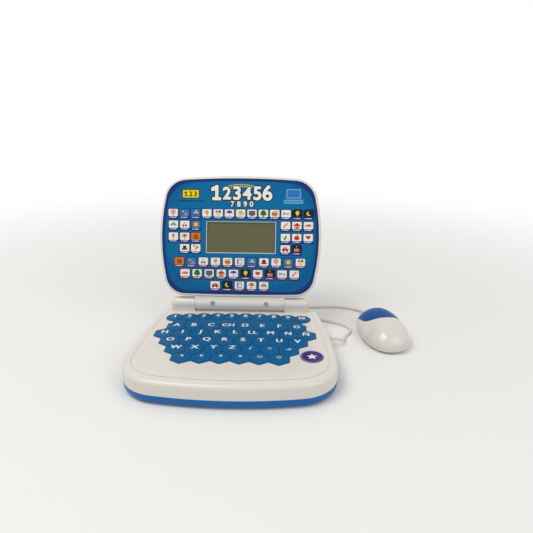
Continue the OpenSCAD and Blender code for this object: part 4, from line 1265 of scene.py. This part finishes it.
@dataclass
class Badge:
    """The round badge at the deck's right front corner, with a plain star."""

    x: float = 90.25
    y: float = -35.0
    radius: float = 13.0
    top: float = 30.2
    sides: int = 72
    steps: tuple[Point, ...] = ((0, -0.8), (0, -0.15), (0.15, 0), (2.0, 0.05), (2.3, -0.12), (3.4, -0.12))
    ring: Point = (0.4, 1.9)
    star: Point = (6.2, 2.9)

    def build(self) -> None:
        """The disc, its ring and the star."""
        top = self.top
        disc = Work.rings([(circle(self.radius - inward, self.sides), top + rise) for inward, rise in self.steps])
        disc.at(self.x, self.y).fitted("badge_disc", "base", "badge_print", ON_BASE, ["corner_badge"])
        outer, inner = (circle(self.radius - inward, self.sides) for inward in self.ring)
        ring = Work.prism(outer, top - 0.05, top + 0.09).cut(Cut.AWAY, Work.prism(inner, top - 1, top + 1))
        ring.at(self.x, self.y).dyed(wardrobe.ink("lilac")).fitted("badge_ring", "base", "badge_print", dye=False)
        star = [(self.star[i % 2] * math.cos(turn), self.star[i % 2] * math.sin(turn))
                for i, turn in enumerate(math.radians(90 + 36 * k) for k in range(10))]
        plate = Work.prism(star, top - 0.2, top).rounded(0.06).at(self.x, self.y)
        plate.dyed(wardrobe.ink("white")).fitted("badge_star", "base", "badge_print", dye=False)


# ---------------------------------------------------------------- lid's print


# A motif is a stack of shapes: kind, ink, place across and up, width, height and turn in degrees
Shape = tuple[str, str, float, float, float, float, float]
MOTIFS: dict[str, tuple[Shape, ...]] = {
    "tree": (("block", "brown", 0, -3, 1.2, 2.4, 0), ("disc", "green", 0, 0.6, 5.6, 5.8, 0),
             ("disc", "green", -1.8, -0.8, 3.2, 2.8, 0), ("disc", "green", 1.8, -0.8, 3.2, 2.8, 0)),
    "house": (("block", "sand", 0, -1.8, 5.6, 3.8, 0), ("tri", "red", 0, 1.2, 4.4, 3.4, 0),
              ("block", "brown", 0, -2.6, 1.3, 2.2, 0)),
    "flower": (("block", "green", 0, -2.4, 0.5, 3.4, 0), *((("disc", "pink", 1.8 * math.cos(a), 1 + 1.8 * math.sin(a),
                                                           2, 2, 0)) for a in (0.3, 1.56, 2.8, 4.07, 5.3)),
               ("disc", "yellow", 0, 1, 1.7, 1.7, 0)),
    "balls": (("disc", "pink", -1.6, 1.4, 3, 3.2, 0), ("disc", "sky", 1.7, 1.5, 3, 3.2, 0),
              ("disc", "yellow", 0.1, -1.8, 3, 3.2, 0)),
    "cloud": (("disc", "grey", -1.8, -0.4, 3.2, 2.4, 0), ("disc", "grey", 0.2, 0.5, 3.6, 3.4, 0),
              ("disc", "grey", 2, -0.5, 3, 2.2, 0)),
    "cup": (("disc", "brown", 2.2, -0.4, 2.4, 2.6, 0), ("disc", "white", 2.2, -0.4, 1.4, 1.6, 0),
            ("block", "yellow", -0.2, -0.5, 4, 4, 0), ("disc", "brown", -0.2, 1.5, 4, 1, 0)),
    "car": (("block", "red", 0, -0.8, 7, 2, 0), ("block", "red", -0.2, 0.9, 4, 1.8, 0),
            ("block", "pale", -0.2, 0.9, 2.8, 1, 0), ("disc", "dark", -2, -2, 1.9, 1.9, 0),
            ("disc", "dark", 2, -2, 1.9, 1.9, 0)),
    "apple": (("disc", "red", -1, -0.6, 3.6, 4.4, 0), ("disc", "red", 1, -0.6, 3.6, 4.4, 0),
              ("block", "brown", 0.1, 2.2, 0.4, 1.6, 15), ("drop", "green", 1.2, 2.6, 1.2, 1.8, -60)),
    "fish": (("tri", "orange", -2.6, 0, 1.7, 2.4, 0), ("disc", "orange", 0.6, 0, 5.4, 3, 0),
             ("disc", "dark", 2, 0.4, 0.6, 0.6, 0)),
    "boat": (("tri", "white", 0.6, 1.2, 2.8, 4, 0), ("tri", "pale", 0.6, 1.2, 2.2, 3.2, 0),
             ("half", "brown", 0, -0.9, 6.4, 3.8, 180)),
    "sun": (("star", "orange", 0, 0, 6.8, 6.8, 10), ("disc", "yellow", 0, 0, 3.8, 3.8, 0)),
    "heart": (("heart", "red", 0, 0, 5.4, 5.2, 0),),
    "carrot": (("tri", "orange", 0.3, -0.6, 1.6, 6, 140), ("drop", "green", -2, 2.2, 1.4, 2.4, 50),
               ("drop", "green", -1.2, 2.6, 1.2, 2.2, 10)),
    "leaf": (("drop", "lime", 0, -0.2, 3.6, 6, -30), ("block", "green", -0.2, -0.4, 0.4, 5, -30)),
    "mushroom": (("block", "sand", 0, -1.8, 1.7, 3, 0), ("half", "red", 0, -0.4, 6, 6, 0),
                 ("disc", "white", -1.2, 0.8, 1, 1, 0), ("disc", "white", 1.1, 1.1, 0.9, 0.9, 0)),
    "key": (("disc", "steel", -2, 0, 2.8, 2.8, 0), ("disc", "white", -2, 0, 1.3, 1.3, 0),
            ("block", "steel", 1, 0, 4.4, 0.7, 0), ("block", "steel", 2.6, -0.7, 0.6, 1.2, 0),
            ("block", "steel", 1.6, -0.6, 0.6, 1, 0)),
    "umbrella": (("block", "dark", 0, -1.4, 0.4, 4.4, 0), ("half", "violet", 0, 0, 6.6, 5.8, 0)),
    "pencil": (("block", "orange", 0.4, 0.4, 1.4, 5.4, -45), ("tri", "dark", -1.9, -1.9, 1, 1.2, 135)),
    "book": (("block", "violet", 0, 0, 5.4, 5.6, 0), ("block", "white", 0.4, 0, 3.8, 4.4, 0),
             ("block", "violet", 0.2, 0.8, 2.6, 0.5, 0)),
    "screen": (("block", "dark", 0, 0.2, 6.8, 4.8, 0), ("block", "steel", 0, 0.2, 5.6, 3.6, 0),
               ("block", "dark", 0, -2.8, 3, 0.8, 0)),
    "cone": (("tri", "sand", 0, -1.6, 2, 4.4, 180), ("disc", "pink", 0, 1.2, 3.4, 3.2, 0)),
    "hat": (("disc", "dark", 0, -1.4, 7, 1.8, 0), ("block", "dark", 0, 0.4, 3.6, 3.8, 0),
            ("block", "red", 0, -0.6, 3.6, 0.8, 0)),
    "kite": (("block", "red", 0, 0.8, 3.2, 3.2, 45), ("block", "yellow", 0, 0.8, 1.6, 1.6, 45),
             ("block", "dark", 0.6, -2.4, 0.3, 2.6, 20)),
    "bulb": (("disc", "yellow", 0, 0.9, 4.2, 4.4, 0), ("block", "grey", 0, -1.9, 1.8, 1.8, 0)),
    "cherry": (("block", "green", 0.2, 1.2, 0.3, 3.4, 25), ("block", "green", -0.8, 1.2, 0.3, 3.2, -20),
               ("disc", "red", -1.5, -1.3, 2.4, 2.4, 0), ("disc", "red", 1.3, -1.3, 2.4, 2.4, 0)),
    "moon": (("disc", "yellow", 0, 0.2, 4.8, 4.8, 0), ("disc", "GROUND", 1.3, 0.8, 4, 4, 0)),
    "hill": (("tri", "steel", -1.2, -0.6, 4, 5, 0), ("tri", "grey", 1.6, -1, 3.2, 3.6, 0),
             ("tri", "white", -1.2, 1.4, 1.2, 1.4, 0)),
    "cake": (("block", "pink", 0, -1.6, 5.6, 2.6, 0), ("block", "sand", 0, -0.1, 5.6, 0.8, 0),
             ("block", "red", 0, 1.4, 0.5, 2.2, 0), ("disc", "yellow", 0, 2.8, 0.9, 1.2, 0)),
    "gift": (("block", "green", 0, -0.8, 5, 4.4, 0), ("block", "red", 0, -0.8, 0.9, 4.4, 0),
             ("block", "red", 0, 0.2, 5, 0.8, 0), ("disc", "red", -0.9, 2, 1.6, 1.2, 20),
             ("disc", "red", 0.9, 2, 1.6, 1.2, -20)),
    "drum": (("disc", "red", 0, -2, 6, 2, 0), ("block", "red", 0, -0.5, 6, 3.2, 0),
             ("block", "yellow", 0, -1.7, 6, 0.6, 0), ("disc", "sand", 0, 1.2, 6, 2.2, 0),
             ("block", "brown", 1.8, 2.4, 0.4, 3, -50)),
}
GROUNDS: dict[str, str] = {"moon": "navy", "hill": "sky", "bulb": "dark", "cake": "dark", "sun": "sky",
                           "boat": "sky", "gift": "orange"}
LABEL_BLUE, LABEL_PLUM = "label", "plum"


@dataclass
class LidPrints:
    """The lid's printed pictures: a generic title of numbers and rows of small picture tiles."""

    shrink: float = 0.979
    middle: Point = (0.0, 89.0)
    face: float = 8.70
    layer: float = 0.02
    tile: Point = (14.3, 14.5)
    outline: float = 0.95
    band: float = 2.9
    motif_size: float = 1.22
    label_dot: Point = (0.65, -4.2)
    label_bar: tuple[float, float, float] = (6.4, 0.85, 0.7)
    big_at: Point = (2, 51.0)
    big_sizes: tuple[float, ...] = (27, 22, 24, 22, 24, 27)
    big_pitch: float = 13.4
    big_spread: float = 0.9
    big_edge: float = 1.4
    small_at: Point = (2, 41.0)
    small_size: float = 9.6
    small_pitch: float = 8.4
    small_spread: float = 0.4
    small_edge: float = 1.05
    dots_at: Point = (1, 70.4)
    dots_pitch: float = 2.9
    dots_arch: float = 0.06
    second_row: float = -2.6
    plate_at: Point = (-67.5, 57.5)
    plate: tuple[tuple[float, float, float, str], ...] = ((23.4, 12, 1.6, "dark"), (21.4, 10, 1.0, "yellow"))
    plate_size: float = 8.4
    plate_pitch: float = 6.2
    bars_pitch: float = 3.1
    laptop_at: Point = (71.5, 55.0)
    laptop: tuple[tuple[float, float, float], ...] = ((19, 12, 3.6), (25, 5, -6.8))
    laptop_line: float = 1.0
    border_gap: float = 3.2
    order: tuple[str, ...] = (
        "flower", "hill", "boat", "kite", "balls", "umbrella", "cup", "screen", "tree", "drum", "key", "bulb", "moon",
        "cloud", "cherry", "sun", "pencil", "house", "fish",
        "cone", "mushroom", "gift", "leaf", "apple", "heart",
        "hat", "carrot", "car", "cake",
        "gift", "hill", "cherry", "kite", "drum", "book", "boat", "hat", "flower", "sun", "balls",
        "fish", "tree", "screen", "house", "umbrella", "bulb", "heart", "cake", "key", "pencil",
        "car", "moon", "book", "mushroom", "cloud")
    rows: tuple[tuple[tuple[float, ...], float], ...] = (
        (tuple(-91.3 + 15.29 * i for i in range(13)), 30.5),
        ((-90.8, -75.4, -60.2, 61.2, 76.4, 91.8), 14.7),
        ((-90.8, -75.4, -60.2, 61.2, 76.4, 91.8), -1.5),
        ((-75.4, -60.2, 61.2, 76.4), -17.0),
        (tuple(-82.5 + 16.44 * i for i in range(11)), -34.9),
        (tuple(-74.5 + 16.48 * i for i in range(10)), -50.9),
        (tuple(-33.3 + 16.5 * i for i in range(5)), -66.8))

    def place(self, x: float, y: float) -> Point:
        """A place given from the lid's middle, on the lid's own face."""
        return (self.middle[0] + x * self.shrink, self.middle[1] + y * self.shrink)

    def print(self, outline: Sequence[Point], layer: int, colour: str) -> Work:
        """One flat print in its layer."""
        return Work(outline, self.face + layer * self.layer).dyed(wardrobe.ink(colour))

    def shape(self, kind: str, width: float, height: float) -> list[Point]:
        """The outline of a motif's building block, about its own middle.

        Args:
            kind: Which one; a disc where no other is named.
            width: How wide it is.
            height: How high it is.

        Returns:
            Its points, going round to the left.
        """
        if kind == "block":
            return rectangle(width, height)
        if kind == "tri":
            return [(-width, -height / 2), (width, -height / 2), (0, height / 2)]
        if kind == "half":
            return [(width / 2 * math.cos(t), height / 2 * math.sin(t))
                    for t in (math.pi * i / 12 for i in range(13))]
        if kind == "star":
            return [((width if i % 2 else width * 0.66) / 2 * math.cos(math.pi * i / 9),
                     (height if i % 2 else height * 0.66) / 2 * math.sin(math.pi * i / 9)) for i in range(18)]
        if kind == "drop":
            return [(width / 2 * math.sin(t) * math.sin(t / 2), height / 2 * math.cos(t))
                    for t in (2 * math.pi * (20 - i) / 20 for i in range(20))]
        if kind == "heart":
            return [(width / 2 * math.sin(t) ** 3, height / 34 * (13 * math.cos(t) - 5 * math.cos(2 * t)
                    - 2 * math.cos(3 * t) - math.cos(4 * t)) + 0.3)
                    for t in (2 * math.pi * (28 - i) / 28 for i in range(28))]
        return [(width / 2 * math.cos(t), height / 2 * math.sin(t)) for t in (2 * math.pi * i / 20 for i in range(20))]

    def picture(self, name: str, label: str, at: Point) -> list[Work]:
        """One tile: dark plate, pale face, label band and motif.

        Args:
            name: The motif.
            label: The label band's ink.
            at: The tile's middle.

        Returns:
            The tile's prints.
        """
        x, y = at
        wide, tall = self.tile
        inner = (wide - 2 * self.outline, tall - 2 * self.outline)
        foot, centre = y - inner[1] / 2 + self.band / 2, y + self.band / 2
        ground = GROUNDS.get(name, "white")
        works = [self.print(soft_rectangle(wide, tall, 2.2, at), 0, "navy"),
                 self.print(soft_rectangle(*inner, 1.4, at), 1, label),
                 self.print(soft_rectangle(inner[0], inner[1] - self.band, 1.2, (x, centre)), 2, ground),
                 self.print(circle(self.label_dot[0], 12, (x + self.label_dot[1], foot)), 2, "white"),
                 self.print(rectangle(*self.label_bar[:2], (x + self.label_bar[2], foot)), 2, "white")]
        for number, (kind, colour, dx, dy, w, h, turn) in enumerate(MOTIFS[name]):
            c, s = math.cos(math.radians(turn)), math.sin(math.radians(turn))
            points = [(x + self.motif_size * (dx + px * c - py * s), centre + self.motif_size * (dy + px * s + py * c))
                      for px, py in self.shape(kind, w, h)]
            works.append(self.print(points, 3 + number, ground if colour == "GROUND" else colour))
        return works

    def tiles(self) -> None:
        """All the tiles, as one thin print."""
        spots = [(self.place(x, y), LABEL_BLUE if number < 4 else LABEL_PLUM)
                 for number, (across, y) in enumerate(self.rows) for x in across]
        works = [work for name, (at, label) in zip(self.order, spots) for work in self.picture(name, label, at)]
        works[0].joined(*works[1:]).thick(self.layer).fitted(
            "fascia_tiles", "lid", "fascia_print", ON_LID, dye=False)

    def digit(self, body: str, at: Point, size: float, spread: float, layer: int, colour: str) -> Work:
        """One plain number as a print, about the middle of its foot.

        Args:
            body: The number.
            at: The middle of its foot.
            size: Its size.
            spread: How far its strokes are widened.
            layer: The layer that it lies in.
            colour: Its ink.

        Returns:
            The print.
        """
        work = Work.text(body, size, (spread, spread), self.layer, 8, 0 if colour == "dark" else 0.01)
        middle = work.width / 2
        if body == "1":
            flag = Work([(middle + size * x + math.copysign(spread, x + 0.1),
                          size * y + math.copysign(spread, y - 0.53)) for x, y in FLAG], -self.layer / 2)
            foot = Work(rectangle(size * 0.36 + 2 * spread, size * 0.09 + 2 * spread, (middle, size * 0.045)),
                        -self.layer / 2)
            rise = self.layer if colour == "dark" else self.layer + 0.1
            work.joined(flag.joined(foot).thick(rise))
        high = self.face + (layer + 0.5) * self.layer
        return work.at(at[0] - middle, at[1], high).dyed(wardrobe.ink(colour))

    def outlined(self, body: str, at: Point, size: float, spread: float, edge: float, layer: int = 0) -> list[Work]:
        """A white number with a dark edge round it."""
        return [self.digit(body, at, size, spread + edge, layer, "dark"),
                self.digit(body, at, size, spread, layer + 1, "white")]

    def row(self, count: int, pitch: float) -> list[float]:
        """Places in a row of equal steps, about its middle."""
        return [(i - (count - 1) / 2) * pitch for i in range(count)]

    def numbers(self) -> list[Work]:
        """The title's big and small numbers.

        Returns:
            Their prints.
        """
        works: list[Work] = []
        x, y = self.place(*self.big_at)
        smallest = min(self.big_sizes)
        for digit, size, across in zip("123456", self.big_sizes, self.row(6, self.big_pitch)):
            foot = (x + across, y - (size - smallest) * 0.2)
            works += self.outlined(digit, foot, size, self.big_spread, self.big_edge)
        x, y = self.place(*self.small_at)
        for digit, across in zip("7890", self.row(4, self.small_pitch)):
            works += self.outlined(digit, (x + across, y), self.small_size, self.small_spread, self.small_edge, 2)
        return works

    def dots(self) -> list[Work]:
        """Two arched rows of yellow dots behind the big numbers.

        Returns:
            Their prints.
        """
        x, y = self.place(*self.dots_at)
        places = self.row(12, self.dots_pitch)
        return [self.print(rectangle(1.9, 1.3, (x + across, y + up - self.dots_arch * (across / self.dots_pitch) ** 2)),
                           2, "yellow")
                for across in places for up in (0, self.second_row) if up == 0 or abs(across) < places[-1]]

    def yellow_plate(self) -> tuple[list[Work], list[Work]]:
        """The yellow plate with a row of small bars under it.

        Returns:
            Its flat prints and its numbers.
        """
        x, y = self.place(*self.plate_at)
        flat = [self.print(soft_rectangle(wide, tall, corner, (x, y)), layer, colour)
                for layer, (wide, tall, corner, colour) in enumerate(self.plate)]
        flat += [self.print(rectangle(2.4, 1.5, (x + across, y - 9.6)), 0, "navy")
                 for across in self.row(11, self.bars_pitch)]
        numbers = [self.digit(number, (x + across, y - 2.9), self.plate_size, 0.28, 2, "dark")
                   for number, across in zip("123", self.row(3, self.plate_pitch))]
        return flat, numbers

    def outlined_laptop(self) -> list[Work]:
        """The outline of a laptop at the right.

        Returns:
            Its prints.
        """
        x, y = self.place(*self.laptop_at)
        works: list[Work] = []
        for wide, tall, up in self.laptop:
            at, line = (x, y + up), 2 * self.laptop_line
            works += [self.print(soft_rectangle(wide, tall, 1.6, at), 0, "pale"),
                      self.print(soft_rectangle(wide - line, tall - line, 0.9, at), 1, "sky")]
        return works + [self.print(rectangle(1.6, 1.0, (x + across, y + self.laptop[-1][2])), 2, "pale")
                        for across in self.row(8, 2.6)]

    def title(self) -> None:
        """The title's place: plain numbers, a yellow plate and an outlined laptop."""
        plate, plate_numbers = self.yellow_plate()
        flat = self.dots() + plate + self.outlined_laptop()
        solid = self.numbers() + plate_numbers
        flat[0].joined(*flat[1:]).thick(self.layer).joined(*solid).fitted(
            "fascia_title", "lid", "fascia_print", ON_LID, dye=False)

    def border(self) -> None:
        """The deep blue ring that follows the fascia's edge."""
        low, high = self.face - 0.05, self.face + 0.02
        ring = Work.prism(LID_OUTLINE.inset(self.border_gap), low, high).cut(
            Cut.AWAY, Work.prism(PRINT_OUTLINE.inset(0), low - 1, high + 1))
        ring.dyed(wardrobe.ink("royal")).fitted("fascia_border", "lid", "fascia_print", ON_LID, dye=False)


# ---------------------------------------------------------------- mouse


@dataclass
class Mouse:
    """The mouse's domed shell with its two buttons."""

    length: float = 98.0
    width: float = 62.0
    height: float = 33.0
    wall: float = 2.0
    split: float = 9.0
    button_low: float = 12.5
    button_dip: float = 1.6
    gap: float = 0.4
    button_half: tuple[float, float, float] = (25.0, 26.0, 18.0)
    button_square: float = 0.66
    half_middle: float = 22.0
    post_radius: float = 3.6
    post_y: float = -26.0
    rib_radius: float = 1.8
    rib_at: Point = (12, 24)
    rib_low: float = 15.3
    rib_high: float = 29.0
    slices: tuple[tuple[float, float, float, float], ...] = (
        (1 / 33, 0.90, 0.86, 0), (0.15, 0.99, 0.97, 0), (0.30, 1, 1, 0), (0.50, 0.94, 0.92, -1),
        (0.72, 0.80, 0.74, -1), (0.88, 0.62, 0.54, 0), (0.97, 0.42, 0.34, 1), (1, 0.20, 0.15, 1))

    def oval(self, along: float, across: float, shift: float = 0.0, power: float = 0.88,
             count: int = 72) -> list[Point]:
        """A slightly square oval.

        Args:
            along: Half its length.
            across: Half its width.
            shift: How far its middle lies forward.
            power: 1 for an oval, less for a squarer one.
            count: How many points.

        Returns:
            Its points, going round to the left.
        """
        points: list[Point] = []
        for i in range(count):
            c, s = math.cos(2 * math.pi * i / count), math.sin(2 * math.pi * i / count)
            points.append((math.copysign(across * abs(c) ** power, c),
                           shift + math.copysign(along * abs(s) ** power, s)))
        return points

    def profile(self) -> list[tuple[float, float, float, float]]:
        """The slices with smooth ones between them.

        Returns:
            Height, length and width as shares of the whole, and how far forward each lies.
        """
        found: list[tuple[float, ...]] = []
        for i in range(len(self.slices) - 1):
            a, b = self.slices[max(i - 1, 0)], self.slices[i]
            c, d = self.slices[i + 1], self.slices[min(i + 2, len(self.slices) - 1)]
            for step in range(4):
                t = step / 4
                found.append(tuple(0.5 * (2 * q + (r - p) * t + (2 * p - 5 * q + 4 * r - s) * t * t
                                          + (3 * q - p - 3 * r + s) * t ** 3)
                                   for p, q, r, s in zip(a, b, c, d)))
        return found + [self.slices[-1]]

    def solid(self, gap: float) -> Work:
        """The whole form.

        Args:
            gap: How far it is drawn in.

        Returns:
            The solid.
        """
        rings = []
        for high, along, across, shift in self.profile():
            share = [gap / 2 if part < 0.5 else gap for part in (along, across)]
            rings.append((self.oval(along * self.length / 2 - share[0], across * self.width / 2 - share[1], shift),
                          high * self.height - (gap if high > 0.4 else 0)))
        return Work.rings(rings)

    def plan(self, grow: float, low: float) -> Work:
        """The prism over both buttons.

        Args:
            grow: How far its outline is widened.
            low: The height of its foot.

        Returns:
            The prism.
        """
        across, along, middle = self.button_half
        outline = self.oval(along + grow, across + grow, middle, self.button_square)
        return Work.prism(outline, low, self.height + 5)

    def shell(self) -> Work:
        """The hollow form."""
        return self.solid(0).cut(Cut.AWAY, self.solid(self.wall))

    def build(self) -> None:
        """The top shell with its screw post, and both buttons with their ribs."""
        shell = self.shell()
        top = shell.again().cut(Cut.COMMON, Work.prism(rectangle(200, 200), self.split, 60))
        top.cut(Cut.AWAY, self.plan(self.gap, self.button_low - self.button_dip))
        post = Work.prism(circle(self.post_radius, 32, (0, self.post_y)), self.split, self.split + 20)
        top.cut(Cut.JOIN, post).fitted("mouse_dome", "base", "white_gloss", ON_MOUSE, ["mouse_top_shell"])
        for side, name in ((-1, "left"), (1, "right")):
            half = Work.prism(rectangle(60, 120, (side * (30 + self.gap / 2), self.half_middle)), 0, 60)
            cap = shell.again().cut(Cut.COMMON, self.plan(0, self.button_low), half)
            rib = Work.prism(circle(self.rib_radius, 24, (side * self.rib_at[0], self.rib_at[1])),
                             self.rib_low, self.rib_high).cut(Cut.COMMON, self.solid(self.wall / 2))
            cap.joined(rib).fitted(f"mouse_{name}_cap", f"{name}_button", "blue_button", ON_MOUSE,
                                   [f"mouse_{name}_button"])
        bpy.data.objects.remove(shell.thing)


def main() -> None:
    """Builds the scene in order: camera and cord first, then each sub-assembly."""
    logging.basicConfig(level=logging.INFO, format="%(name)s: %(message)s")
    Studio().build()
    MouseLead().build()
    carried = Carried()
    carried.dress()
    carried.smooth()
    Keypad().build()
    Badge().build()
    prints = LidPrints()
    prints.border()
    prints.tiles()
    prints.title()
    Mouse().build()


if __name__ == "__main__":
    main()
